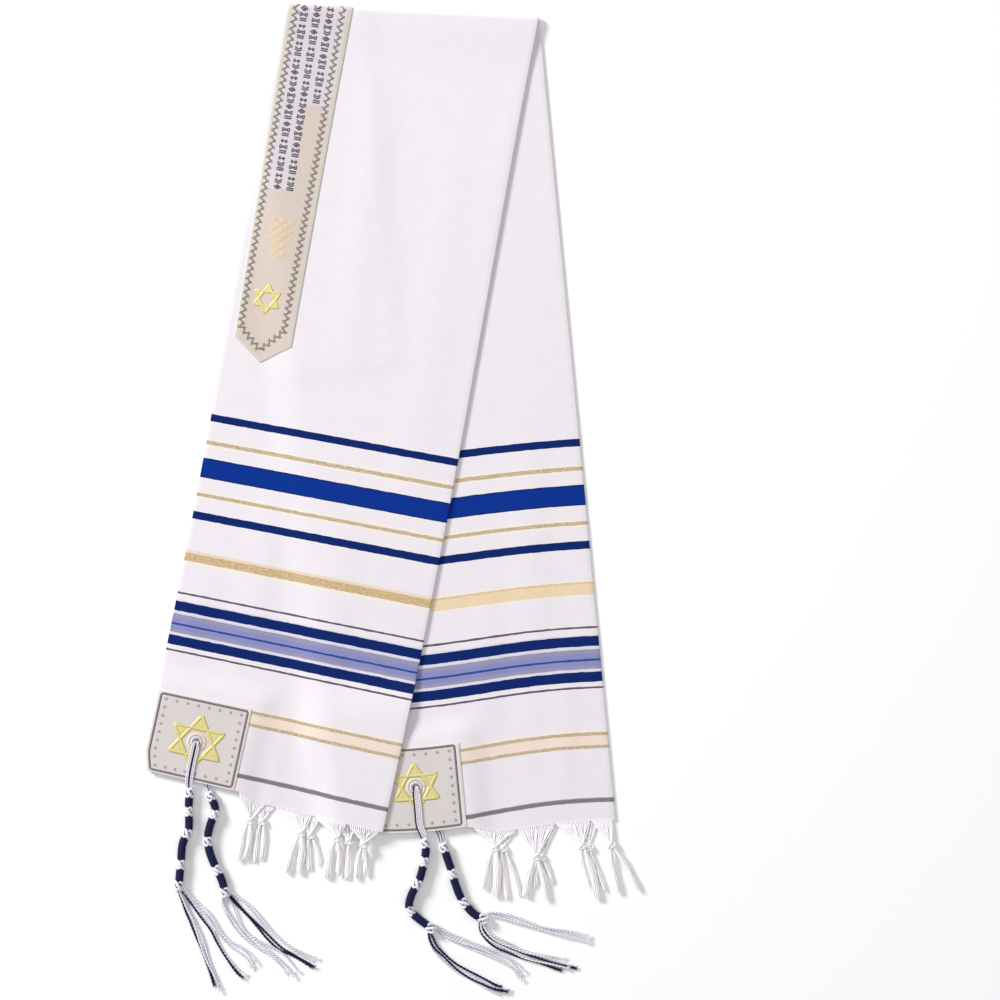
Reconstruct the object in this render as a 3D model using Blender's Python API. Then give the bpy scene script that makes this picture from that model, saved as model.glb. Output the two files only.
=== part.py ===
"""Tallit prayer shawl, folded and laid flat on a table.

The woven cloth is folded in half along its length, so that its two long edges lie together, and
then folded across over a slanting crease, so that its two fringed ends spread apart like legs.
Lengths are in millimetres until to_metres() places them: +X right, +Y towards the crease, +Z up.

Every place on the cloth has three coordinates: across, from the open long edges to the lengthwise
fold; along, from the open end of the crease, positive on the front leg and negative on the back
leg; and depth, from the face that carries the neckband, down through both layers.
"""

import bmesh
import bpy
from math import cos, pi, radians, sin, tan
from mathutils import Vector

MM = 0.001

# The cloth: 2 * HALF_WIDTH wide and FRONT_END + BACK_END long, before it is folded.
HALF_WIDTH = 279.0
FRONT_END = 885.0
BACK_END = 946.0
CLOTH = 1.0
LAYER_GAP = 0.5
STACK = 2 * CLOTH + LAYER_GAP
SEAM = 0.3

# How it lies: the open end of the crease, the tilt of each leg off -Y, and the crease's own roll.
FOLD_CORNER = (-120.6, 554.4)
FRONT_TILT = radians(10.85)
BACK_TILT = radians(5.44)
SLANT = (FRONT_TILT + BACK_TILT) / 2
CREASE_TILT = FRONT_TILT - SLANT
CREASE_HEADING = Vector((cos(CREASE_TILT), -sin(CREASE_TILT), 0))
FOLD_RADIUS = 2.8
LEG_GAP = 0.8
LOFT_LENGTH = 60.0
SLOPE_WIDTH = 45.0

# How the legs sway off a straight line: the front one in a bow, the back one in a wave.
BOW = 5.0
BOW_SCALE = 6.75
WAVE = 4.3
WAVES_ACROSS = 0.95

# The front leg's open corner is drawn in by its tassel.
CORNER_PULL = 6.0
PULL_FROM = 850.0
PULL_LENGTH = 30.0
PULL_WIDTH = 70.0

# The layers stay open this far in from each fringed end; farther in they share one solid.
SLOT_DEPTH = 67.0

# Neckband (atarah): centred on the crease, near the open edge, with a point at each end. It lies a
# little farther in from that edge at its points than at the crease.
ATARAH_EDGE = {"crease": 1.9, "point": 7.8}
ATARAH_FAR_EDGE = 72.4
ATARAH_SHOULDER = 375.0
ATARAH_REACH = 398.5
ATARAH_POINT_WIDTH = 4.0
ATARAH_POINT_LIFT = 0.4
ATARAH = 0.9

# Corner patches, with an eyelet each. The cloth is cut back to the patch's own end at each corner.
PATCH_WIDTH = 105.0
PATCH_HEIGHT = 94.0
PATCH = 0.9
EYELET_RADIUS = 4.5
EYELET_HEIGHT = {"front": 43.9, "back": 49.7}
EYELET_APART = 16.0
PATCH_INSET = {"front": 0.8, "back": 7.0}
NOTCH = {"front": 8.0, "back": 13.5}
NOTCH_FROM = 111.0
NOTCH_TO = {"front": 131.0, "back": 154.0}
LEG_END = {"front": FRONT_END, "back": BACK_END}
LEG_SIGN = {"front": 1, "back": -1}

# Corner tassels (tzitzit): a flat loop of strings, a wound shaft with knots, eight free strands.
STRING = 1.1
STRING_BAND = 6.0
STRING_CLEAR = 2.0
STRING_LEAN = 0.6
FLOOR_GAP = 0.1
WOUND_RADIUS = 4.2
KNOT_RADIUS = 5.2
KNOT_LENGTH = 10.0
STRAND = 1.8
STRAND_PITCH = 2.6
STRAND_SPREAD = 0.7
STRAND_STATIONS = (0.1, 0.22, 0.42, 0.7, 1.0)
SKIRT_ROOT = (-3.0, 1.5)
SKIRT_ROOT_WIDTH = 7.2
LOCK_TAPER = 0.03

# Heights of what lies under, between and over the two layers at a corner, and under the neckband.
CORNER_BED = FLOOR_GAP + STRING + SEAM + PATCH + SEAM
CORNER_OPENING = SEAM + STRING + SEAM - LAYER_GAP
ATARAH_BED = ATARAH + SEAM
EASE = 30.0
EASE_MARGIN = 4.0
OVERHANG = 26.0

# Fringe: each layer's end threads run from a narrow backing strip into knots, and spread below.
STRIP_WIDTH = 3.3
LOCKS = 5
ROOT = 1.1
LOCK = 1.9
LOCK_WIDTH = 2.7
FRINGE_KNOT_WIDTH = 5.4
FRINGE_KNOT_LENGTH = 6.0
FRINGE_KNOT_HEIGHT = 2.3
FRINGE_LAY = {"under": 0.1, "top": 2.6}
KNOT_DROP = {"under": 4.0, "top": 1.5}
KNOT_ROWS = ((2, -0.5, 0.7), (3, 0.0, 1.0), (4, 0.5, 0.7))
BELLY = 0.45
BELLY_SPREAD = 6.0
UNEVEN = 4.0


def smooth(value):
    value = min(max(value, 0.0), 1.0)
    return value * value * (3 - 2 * value)


def plateau(distance, flat, fall):
    """1 up to the distance flat, then an easy fall to 0."""
    return 1 - smooth((distance - flat) / fall)


def fringed_end(leg, across):
    """Where the cloth ends: cut back at the corner patch, with a slanting step beside it."""
    step = (across - NOTCH_FROM) / (NOTCH_TO[leg] - NOTCH_FROM)
    return LEG_END[leg] - NOTCH[leg] * (1 - min(max(step, 0.0), 1.0))


def corner(leg, across, reach, spare=0.0):
    """1 under and over a corner patch, and as far as spare past it, easing to 0 around that."""
    patch_side = PATCH_INSET[leg] + PATCH_WIDTH + EASE_MARGIN + spare
    patch_top = PATCH_HEIGHT + EASE_MARGIN + spare
    end = LEG_END[leg] - NOTCH[leg]
    return plateau(across, patch_side, EASE + spare) * plateau(end - reach, patch_top, EASE + spare)


def band_bed(across, reach):
    """How far the back leg is held off the table by the neckband."""
    band = plateau(across, ATARAH_FAR_EDGE + EASE_MARGIN, EASE)
    return ATARAH_BED * band * plateau(reach, ATARAH_REACH + EASE_MARGIN, EASE)


def back_bed(across, reach):
    """How far the back leg is held off the table, by the neckband and by the hidden patch."""
    return band_bed(across, reach) + CORNER_BED * corner("back", across, reach)


def rise_over_back(right, down):
    """How far the front leg is held off the table by the back leg, right and down from FOLD_CORNER."""
    run = (down + FOLD_RADIUS * (pi / 2 - 1)) / cos(SLANT)
    across = (right - run * sin(SLANT)) * cos(SLANT)
    reach = run + across * tan(SLANT)
    height = band_bed(across, reach) + STACK + LEG_GAP
    corner_height = CORNER_BED + CORNER_OPENING + SEAM + PATCH
    height += corner_height * corner("back", across, reach, OVERHANG)
    height += (2 * FOLD_RADIUS - STACK - LEG_GAP) * plateau(down, FOLD_RADIUS, LOFT_LENGTH)
    return height * smooth((across + SLOPE_WIDTH + OVERHANG) / SLOPE_WIDTH)


def shawl_point(across, along, depth):
    """A point of the folded cloth, in millimetres."""
    pull = smooth((along - PULL_FROM) / PULL_LENGTH)
    across += CORNER_PULL * pull * plateau(across, 0.0, PULL_WIDTH)
    run = along + across * tan(SLANT)
    sway = 0.0
    if run >= 0:
        part = max(along, 0.0) / FRONT_END
        sway = BOW * BOW_SCALE * part ** 2 * (1 - part)
        turn = BOW * BOW_SCALE * (2 * part - 3 * part ** 2) / FRONT_END
        run += sway * tan(SLANT) - turn * (across - HALF_WIDTH / 2)
    else:
        run -= WAVE * sin(WAVES_ACROSS * 2 * pi * across / HALF_WIDTH) * (run / BACK_END) ** 2
    right = (across + sway) / cos(SLANT) - run * sin(SLANT)
    around = run * cos(SLANT)
    quarter = FOLD_RADIUS * pi / 2
    down = abs(around) + FOLD_RADIUS - quarter
    if abs(around) < quarter:
        angle = around / FOLD_RADIUS
        radius = FOLD_RADIUS + STACK / 2 - depth
        down = FOLD_RADIUS - radius * cos(angle)
        height = back_bed(across, -along) + STACK / 2 + FOLD_RADIUS + radius * sin(angle)
    elif around > 0:
        lifted = corner("front", across, along)
        height = rise_over_back(right, down) + CORNER_BED * lifted + STACK - depth
        if depth < STACK / 2:
            height += CORNER_OPENING * lifted
    else:
        height = back_bed(across, -along) + depth
        if depth > STACK / 2:
            height += CORNER_OPENING * corner("back", across, -along)
    return (FOLD_CORNER[0] + right * cos(CREASE_TILT) - down * sin(CREASE_TILT),
            FOLD_CORNER[1] - right * sin(CREASE_TILT) - down * cos(CREASE_TILT),
            height)


def to_metres(point):
    return Vector(point) * MM


def material(name, colour, roughness):
    made = bpy.data.materials.new(name)
    made.use_nodes = True
    shader = made.node_tree.nodes["Principled BSDF"]
    shader.inputs["Base Color"].default_value = (*colour, 1.0)
    shader.inputs["Roughness"].default_value = roughness
    return made


def add_object(name, mesh, finish=None):
    made = bpy.data.objects.new(name, mesh)
    PARTS.objects.link(made)
    if finish:
        mesh.materials.clear()
        mesh.materials.append(finish)
    return made


# ------------------------------------------------------------------ solids made of lattice cells

def steps(start, end, count):
    """The places between start and end that part it into equal steps, without the two ends."""
    return [start + (end - start) * k / (count + 1) for k in range(1, count + 1)]


def lattice_solid(name, points, filled, finish):
    """A closed solid of the filled cells of a lattice, whose corners are points[i][j][k]."""
    size = (len(points) - 1, len(points[0]) - 1, len(points[0][0]) - 1)
    mesh = bmesh.new()
    corners = {}

    def vertex(i, j, k):
        if (i, j, k) not in corners:
            corners[i, j, k] = mesh.verts.new(to_metres(points[i][j][k]))
        return corners[i, j, k]

    def is_filled(cell):
        inside = all(0 <= cell[axis] < size[axis] for axis in range(3))
        return inside and filled(*cell)

    for cell in [(i, j, k) for i in range(size[0]) for j in range(size[1]) for k in range(size[2])]:
        if not is_filled(cell):
            continue
        for axis in range(3):
            for side in (0, 1):
                neighbour = list(cell)
                neighbour[axis] += 2 * side - 1
                if is_filled(neighbour):
                    continue
                quad = []
                for step_a, step_b in ((0, 0), (1, 0), (1, 1), (0, 1)):
                    place = list(cell)
                    place[axis] += side
                    place[(axis + 1) % 3] += step_a
                    place[(axis + 2) % 3] += step_b
                    quad.append(vertex(*place))
                mesh.faces.new((quad[0], quad[1], quad[3]))
                mesh.faces.new((quad[1], quad[2], quad[3]))
    bmesh.ops.recalc_face_normals(mesh, faces=mesh.faces)
    data = bpy.data.meshes.new(name)
    mesh.to_mesh(data)
    mesh.free()
    return add_object(name, data, finish)


# Columns of the cloth's lattice, across; the first ones are shared with the neckband.
BAND_COLUMNS = [0.0, 18.0, 36.0, 54.0, ATARAH_FAR_EDGE]
PANEL_COLUMNS = [88.0, NOTCH_FROM, 131.0, 154.0, 179.0, 205.0, 230.0, 252.0]
FOLD_COLUMN = HALF_WIDTH - 9.0
COLUMNS = BAND_COLUMNS + PANEL_COLUMNS + [FOLD_COLUMN]
END_ROWS = [0.0, 25.0, 48.0, SLOT_DEPTH, PATCH_HEIGHT, 114.0, 132.0]
CREASE_ROWS = [62.0, 42.0, 24.0, 12.0]


def rows_along(across):
    """Where the lattice's rows cross a column, from the front leg's end to the back leg's."""
    crease = -across * tan(SLANT)
    quarter = FOLD_RADIUS * pi / 2
    front = [fringed_end("front", across) - distance for distance in END_ROWS]
    front += steps(front[-1], ATARAH_REACH, 7) + [ATARAH_REACH, ATARAH_SHOULDER]
    rolled = [crease + distance / cos(SLANT) for distance in CREASE_ROWS]
    rolled += [crease + quarter * turn for turn in (1.0, 0.5, 0.0, -0.5, -1.0)] + [crease - 40.0]
    back = [distance - fringed_end("back", across) for distance in reversed(END_ROWS)]
    shoulder = [-ATARAH_SHOULDER, -ATARAH_REACH]
    return (front + steps(front[-1], rolled[0], 6) + rolled + steps(rolled[-1], shoulder[0], 4)
            + shoulder + steps(shoulder[-1], back[0], 4) + back)


def make_cloth(finish):
    """Both layers, open at their edges, joined farther in, and rounded along the lengthwise fold."""
    levels = (0.0, CLOTH, CLOTH + LAYER_GAP, STACK)
    points = [[[shawl_point(across, along, depth) for depth in levels]
               for along in rows_along(across)] for across in COLUMNS]
    edge = HALF_WIDTH - STACK / 2
    turns = [radians(degrees) for degrees in (90, 30, -30, -90)]
    fold = [(edge + cos(turn) * STACK / 2, (1 - sin(turn)) * STACK / 2) for turn in turns]
    points.append([[shawl_point(across, along, depth) for across, depth in fold]
                   for along in rows_along(edge)])
    slot_rows = END_ROWS.index(SLOT_DEPTH)
    last_row = len(points[0]) - 1

    def filled(column, row, level):
        in_slot = column < len(BAND_COLUMNS) - 1 or not slot_rows <= row < last_row - slot_rows
        return level != 1 or column == len(COLUMNS) - 1 or not in_slot

    return lattice_solid("shawl_cloth", points, filled, finish)


def make_atarah(finish):
    """The neckband: the cloth's own points moved out, drawn in to a point at both ends."""
    rows = [along for along in rows_along(0.0) if abs(along) <= ATARAH_REACH]
    points = []
    for column in BAND_COLUMNS:
        line = []
        for index, along in enumerate(rows):
            lean = (ATARAH_EDGE["point"] - ATARAH_EDGE["crease"]) * abs(along) / ATARAH_SHOULDER
            edge = ATARAH_EDGE["crease"] + lean
            middle = (edge + ATARAH_FAR_EDGE) / 2
            across = max(column, edge)
            # The front point stands a little off the slope below it.
            out = SEAM + ATARAH_POINT_LIFT if index == 0 else SEAM
            if index in (0, len(rows) - 1):
                across = middle + (across - middle) * ATARAH_POINT_WIDTH / ATARAH_FAR_EDGE
                row = along
            else:
                # Rows near the crease run parallel to it, as the cloth's do.
                row = rows_along(across)[rows_along(0.0).index(along)]
            line.append([shawl_point(across, row, -out), shawl_point(across, row, -out - ATARAH)])
        points.append(line)
    return lattice_solid("atarah", points, lambda column, row, level: True, finish)


# ------------------------------------------------------------------------------- corner patches

# Each corner: its leg, whether its patch is on the neckband's face, and whether that faces up.
CORNERS = {
    "front_top": ("front", True),
    "front_under": ("front", False),
    "back_top": ("back", False),
    "back_under": ("back", True),
}


def face_depth(on_band_face, out):
    """The depth of a place that stands out from one face of the folded cloth."""
    return -out if on_band_face else STACK + out


def eyelet_place(name):
    """Across and along of a corner's eyelet. The hidden one lies a little farther in."""
    leg, _ = CORNERS[name]
    across = PATCH_INSET[leg] + PATCH_WIDTH / 2
    if name.endswith("under"):
        across += EYELET_APART
    return across, LEG_SIGN[leg] * (LEG_END[leg] - NOTCH[leg] - EYELET_HEIGHT[leg])


def make_patch(name, finish):
    leg, on_band_face = CORNERS[name]
    start = PATCH_INSET[leg]
    end = LEG_END[leg] - NOTCH[leg] - SEAM
    columns = [start] + steps(start, start + PATCH_WIDTH, 2) + [start + PATCH_WIDTH]
    rows = [end] + steps(end, end - PATCH_HEIGHT, 2) + [end - PATCH_HEIGHT]
    depths = [face_depth(on_band_face, out) for out in (SEAM, SEAM + PATCH)]
    points = [[[shawl_point(across, LEG_SIGN[leg] * row, depth) for depth in depths]
               for row in rows] for across in columns]
    return lattice_solid("patch_" + name, points, lambda column, row, level: True, finish)


def cut_eyelet(name, patch, cloth):
    """A round hole through a patch and the one layer of cloth that it is sewn to."""
    _, on_band_face = CORNERS[name]
    across, along = eyelet_place(name)
    outside = shawl_point(across, along, face_depth(on_band_face, 2 * SEAM + PATCH))
    inside = shawl_point(across, along, face_depth(on_band_face, -CLOTH - SEAM))
    height = abs(outside[2] - inside[2]) * MM
    centre = (Vector(outside) + Vector(inside)) / 2
    bpy.ops.mesh.primitive_cylinder_add(vertices=10, radius=EYELET_RADIUS * MM, depth=height,
                                        location=to_metres(centre))
    cutter = bpy.context.active_object
    cutter.name = "eyelet_cutter_" + name
    move_to(cutter, CUTTERS)
    cutter.hide_render = True
    cutter.display_type = 'WIRE'
    for cut in (patch, cloth):
        hole = cut.modifiers.new("eyelet_" + name, 'BOOLEAN')
        hole.operation = 'DIFFERENCE'
        hole.object = cutter


def move_to(made, collection):
    for holder in list(made.users_collection):
        holder.objects.unlink(made)
    collection.objects.link(made)


# ------------------------------------------------------------------------- strings and threads

def catmull_rom(points, per_span=8):
    """A smooth line through points, as close short steps."""
    points = [Vector(point) for point in points]
    padded = [2 * points[0] - points[1]] + points + [2 * points[-1] - points[-2]]
    line = []
    for before, start, end, after in zip(padded, padded[1:], padded[2:], padded[3:]):
        for step in range(per_span):
            t = step / per_span
            line.append(0.5 * (2 * start + (end - before) * t
                               + (2 * before - 5 * start + 4 * end - after) * t ** 2
                               + (3 * start - before - 3 * end + after) * t ** 3))
    return line + [points[-1]]


def lengths_of(line):
    total = [0.0]
    for start, end in zip(line, line[1:]):
        total.append(total[-1] + (end - start).length)
    return total


def place_on(line, distance):
    """The point of a line at a distance from its start."""
    total = lengths_of(line)
    for index in range(len(line) - 1):
        if distance <= total[index + 1]:
            part = (distance - total[index]) / (total[index + 1] - total[index])
            return line[index].lerp(line[index + 1], part)
    return line[-1].copy()


def mesh_of(made):
    """A curve's or a modified object's own closed mesh, in place of the object."""
    bpy.context.view_layer.update()
    shown = made.evaluated_get(bpy.context.evaluated_depsgraph_get())
    mesh = bpy.data.meshes.new_from_object(shown)
    mesh.transform(made.matrix_world)
    welded = bmesh.new()
    welded.from_mesh(mesh)
    bmesh.ops.remove_doubles(welded, verts=welded.verts, dist=0.000001)
    bmesh.ops.recalc_face_normals(welded, faces=welded.faces)
    welded.to_mesh(mesh)
    welded.free()
    solid = add_object(made.name + "_solid", mesh)
    bpy.data.objects.remove(made)
    return solid


def tube(points, radii):
    """A wound shaft: a closed six-sided tube through points, in millimetres."""
    curve = bpy.data.curves.new("shaft", 'CURVE')
    curve.dimensions = '3D'
    curve.bevel_depth = MM
    curve.bevel_resolution = 1
    curve.use_fill_caps = True
    spline = curve.splines.new('POLY')
    spline.points.add(len(points) - 1)
    for target, point, radius in zip(spline.points, points, radii):
        target.co = (*to_metres(point), 1.0)
        target.radius = radius
    made = bpy.data.objects.new("shaft", curve)
    PARTS.objects.link(made)
    return mesh_of(made)


def comb_solid(name, rows, joined, finish):
    """Strands side by side, joined to their neighbours in some rows and apart in the others.

    rows[row][strand] is the strand's left side, right side and half height there, and
    joined(strand, row) tells whether the gap after that strand is filled in that row.
    """
    points = []
    for strand in range(len(rows[0])):
        for side in (0, 1):
            column = []
            for row in rows:
                raised = Vector((0, 0, row[strand][2]))
                column.append([row[strand][side] - raised, row[strand][side] + raised])
            points.append(column)

    def filled(column, row, _):
        return column % 2 == 0 or joined(column // 2, row)

    return lattice_solid(name, points, filled, finish)


def band(points, width, thickness):
    """A flat band of strings that follows points, in millimetres, lying level."""
    sections = []
    for index, point in enumerate(points):
        before = Vector(points[max(index - 1, 0)])
        after = Vector(points[min(index + 1, len(points) - 1)])
        heading = (after - before).normalized()
        aside = heading.cross((0, 0, 1)).normalized() * width / 2
        up = aside.cross(heading).normalized() * thickness / 2
        sections.append([[Vector(point) - aside - up, Vector(point) - aside + up],
                         [Vector(point) + aside - up, Vector(point) + aside + up]])
    lattice = [[section[side] for section in sections] for side in (0, 1)]
    return lattice_solid("band", lattice, lambda i, j, k: True, None)


def fuse(name, pieces, finish):
    """One closed solid of pieces that run into each other."""
    operands = bpy.data.collections.new("operands")
    bpy.context.scene.collection.children.link(operands)
    for piece in pieces[1:]:
        move_to(piece, operands)
    union = pieces[0].modifiers.new("union", 'BOOLEAN')
    union.operation = 'UNION'
    union.operand_type = 'COLLECTION'
    union.collection = operands
    joined = mesh_of(pieces[0])
    for piece in pieces[1:]:
        bpy.data.objects.remove(piece)
    bpy.data.collections.remove(operands)
    joined.name = name
    joined.data.materials.clear()
    joined.data.materials.append(finish)
    return joined


# --------------------------------------------------------------------------------------- tassels

# Routes are rows of (right, down) from FOLD_CORNER, in millimetres, as the strings were laid.
# knots are distances down the shaft. A lock is a group of free strands with a route of its own,
# and each tassel's locks are listed from left to right, as seen along the shaft.
TASSELS = {
    "front_top": {
        "shaft": [(-109.8, 876.0), (-111.2, 897.0), (-111.2, 921.8), (-118.0, 938.0),
                  (-119.8, 956.5), (-122.3, 985.2)],
        "knots": (0.0, 21.0, 46.0, 82.0, 110.0),
        "locks": [(2, [(-96.0, 1018.0), (-69.5, 1048.0), (-52.5, 1059.0), (-39.0, 1075.0)]),
                  (3, [(-105.0, 1017.0), (-84.0, 1047.0), (-70.5, 1067.0), (-48.0, 1089.0)]),
                  (3, [(-114.0, 1005.0), (-97.5, 1049.0), (-88.5, 1074.0), (-77.5, 1102.0)])],
    },
    "front_under": {
        "shaft": [(-89.0, 880.5), (-81.2, 899.5), (-86.4, 915.0), (-89.8, 930.3), (-88.0, 946.4),
                  (-82.1, 962.1), (-74.4, 978.3), (-70.5, 992.5)],
        "knots": (0.0, 21.5, 53.0, 87.0, 116.0),
        "locks": [(3, [(-63.0, 1002.0), (-40.3, 1020.0), (-21.8, 1038.0), (-3.7, 1055.0),
                       (30.2, 1076.0)]),
                  (2, [(-64.0, 1007.0), (-46.0, 1026.0), (-28.0, 1043.0), (-9.0, 1059.0),
                       (18.0, 1079.0)]),
                  (3, [(-66.0, 1012.0), (-57.0, 1031.8), (-41.3, 1050.3), (-17.7, 1067.4),
                       (8.0, 1087.0)])],
    },
    "back_top": {
        "shaft": [(152.3, 932.6), (154.4, 943.0), (153.4, 953.7), (150.9, 965.5), (146.7, 979.3),
                  (138.2, 995.7), (135.5, 1010.2), (143.0, 1019.5), (160.0, 1032.5)],
        "knots": (0.0, 21.0, 47.5, 80.0, 110.0),
        "locks": [(4, [(175.0, 1044.5), (200.8, 1057.0), (232.0, 1067.5), (248.0, 1077.5),
                       (262.5, 1091.5)]),
                  (4, [(165.8, 1056.0), (183.8, 1071.4), (209.4, 1087.8), (230.1, 1099.5),
                       (248.1, 1105.6)])],
    },
    "back_under": {
        "shaft": [(173.4, 937.5), (177.6, 952.0), (182.8, 967.3), (187.8, 984.5), (194.8, 1000.8),
                  (207.5, 1016.2), (218.7, 1022.2)],
        "knots": (0.0, 31.0, 66.0, 99.0),
        "locks": [(3, [(226.0, 1017.0), (249.1, 1019.5), (281.1, 1029.8), (313.4, 1037.6),
                       (342.7, 1044.0)]),
                  (5, [(226.0, 1029.0), (240.0, 1038.0), (261.4, 1047.6), (290.6, 1057.6),
                       (323.1, 1068.1)])],
    },
}


def on_table(route_point, height):
    right, down = route_point
    return FOLD_CORNER[0] + right, FOLD_CORNER[1] - down, height


def make_shaft(route, knots):
    """The wound shaft with its knots, lying on the table."""
    line = catmull_rom([on_table(point, 0.0) for point in route])
    length = lengths_of(line)[-1]
    stations = [((start + end + KNOT_LENGTH) / 2, WOUND_RADIUS) for start, end in zip(knots, knots[1:])]
    for distance in knots:
        for part, radius in ((0.0, WOUND_RADIUS), (0.25, KNOT_RADIUS), (0.75, KNOT_RADIUS),
                             (1.0, WOUND_RADIUS)):
            stations.append((distance + part * KNOT_LENGTH, radius))
    stations = sorted(station for station in stations if station[0] < length - WOUND_RADIUS)
    stations.append((length, KNOT_RADIUS))
    points = [place_on(line, distance) + Vector((0, 0, radius + FLOOR_GAP))
              for distance, radius in stations]
    return tube(points, [radius for _, radius in stations])


def spread_out(places, least):
    """The places of neighbours, in order, pushed apart until each is that far past the last."""
    places = list(places)
    for _ in range(200):
        for index in range(len(places) - 1):
            lack = least - (places[index + 1] - places[index])
            if lack > 0:
                places[index] -= lack / 2
                places[index + 1] += lack / 2
    return places


def make_skirt(shaft, locks):
    """The free strands: joined in the end knot, then side by side, each lock on its own route."""
    end = Vector(on_table(shaft[-1], 0.0))
    tip_middle = sum((Vector(on_table(route[-1], 0.0)) for _, route in locks), Vector()) / len(locks)
    heading = (tip_middle - end).normalized()
    right = heading.cross((0, 0, 1))
    strands = []
    for count, route in locks:
        line = catmull_rom([on_table(point, 0.0) for point in shaft[-1:] + route])
        length = lengths_of(line)[-1]
        for index in range(count):
            offset = index - (count - 1) / 2
            reach = length * (1.0 - LOCK_TAPER * abs(offset))
            strand = []
            for part in STRAND_STATIONS:
                ahead = place_on(line, part * reach) - place_on(line, part * reach - STRAND)
                aside = ahead.normalized().cross((0, 0, 1)) if part > STRAND_STATIONS[1] else right
                gap = STRAND_PITCH * (1 + STRAND_SPREAD * part)
                strand.append((place_on(line, part * reach) + aside * offset * gap - end, aside))
            strands.append(strand)
    rows = []
    pitch = SKIRT_ROOT_WIDTH / len(strands)
    for ahead in SKIRT_ROOT:
        row = []
        for index in range(len(strands)):
            centre = end + heading * ahead + right * (index - (len(strands) - 1) / 2) * pitch
            centre.z = KNOT_RADIUS + FLOOR_GAP
            row.append((centre - right * pitch / 3, centre + right * pitch / 3, STRAND / 2))
        rows.append(row)
    for station in range(len(STRAND_STATIONS)):
        places = spread_out([strand[station][0].dot(right) for strand in strands], STRAND_PITCH)
        row = []
        for strand, place in zip(strands, places):
            centre, aside = strand[station]
            centre = end + heading * centre.dot(heading) + right * place
            centre.z = STRAND / 2 + FLOOR_GAP
            row.append((centre - aside * STRAND / 2, centre + aside * STRAND / 2, STRAND / 2))
        rows.append(row)
    return comb_solid("skirt", rows, lambda strand, row: row == 0, None)


def make_tassel(name, finish):
    """A tassel: its strings go through the eyelet and round the cloth's end, on both faces."""
    leg, on_band_face = CORNERS[name]
    tassel = TASSELS[name]
    across, along = eyelet_place(name)
    end = LEG_SIGN[leg] * (LEG_END[leg] - NOTCH[leg] + STRING_CLEAR)
    shaft_line = [Vector(on_table(point, KNOT_RADIUS + FLOOR_GAP)) for point in tassel["shaft"]]
    head = place_on(shaft_line, KNOT_LENGTH / 2)
    upward = 1 if name.endswith("top") else -1
    outer = (face_depth(on_band_face, 0.0), upward * (SEAM + PATCH + SEAM + STRING / 2))
    inner = (face_depth(on_band_face, -CLOTH), -upward * (SEAM + STRING / 2))
    pieces = [make_shaft(tassel["shaft"], tassel["knots"])]
    starts = []
    for depth, raised in (outer, inner):
        start = Vector(shawl_point(across, along, depth)) + Vector((0, 0, raised))
        leave = Vector(shawl_point(across, end, depth)) + Vector((0, 0, raised))
        leave.x += (head.x - leave.x) * STRING_LEAN
        starts.append(start)
        overshoot = start + (start - leave).normalized() * STRING_BAND / 2
        pieces.append(band([overshoot, leave, head], STRING_BAND, STRING))
    middle = (starts[0] + starts[1]) / 2
    bpy.ops.mesh.primitive_cylinder_add(vertices=8, radius=(STRING_BAND / 2 - SEAM) * MM,
                                        depth=abs(starts[0].z - starts[1].z) * MM,
                                        location=to_metres(middle))
    plug = bpy.context.active_object
    move_to(plug, PARTS)
    pieces.append(mesh_of(plug))
    pieces.append(make_skirt(tassel["shaft"], tassel["locks"]))
    return fuse("tzitzit_" + name, pieces, finish)


# ---------------------------------------------------------------------------------------- fringe

# Rows: bundle's roots from and to, its knot's across and reach beyond the leg's end, its tips from
# and to, and their reach beyond the leg's end.
FRINGE = {
    "front_top": [
        (113.0, 149.0, 134.0, 16.0, 122.0, 157.0, 63.0),
        (157.0, 200.0, 184.0, 22.0, 178.0, 206.0, 66.0),
        (203.0, 240.0, 223.0, 17.0, 216.0, 241.0, 63.0),
        (243.0, 274.0, 264.0, 19.0, 250.0, 270.0, 61.0),
    ],
    "front_under": [
        (117.0, 145.0, 147.0, 23.0, 136.0, 164.0, 59.0),
        (166.0, 206.0, 194.0, 25.0, 188.0, 212.0, 60.0),
        (209.0, 246.0, 237.0, 24.0, 226.0, 246.0, 58.0),
    ],
    "back_top": [
        (121.0, 165.0, 147.0, 13.0, 120.0, 162.0, 72.0),
        (169.0, 210.0, 188.0, 27.0, 169.0, 199.0, 77.0),
        (213.0, 250.0, 241.0, 24.0, 240.0, 260.0, 82.0),
        (253.0, 275.0, 271.0, 24.0, 277.0, 302.0, 80.0),
    ],
    "back_under": [
        (124.0, 164.0, 156.0, 21.0, 140.0, 170.0, 66.0),
        (174.0, 216.0, 203.0, 26.0, 188.0, 214.0, 70.0),
        (220.0, 262.0, 252.0, 26.0, 244.0, 268.0, 70.0),
    ],
}


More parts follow.
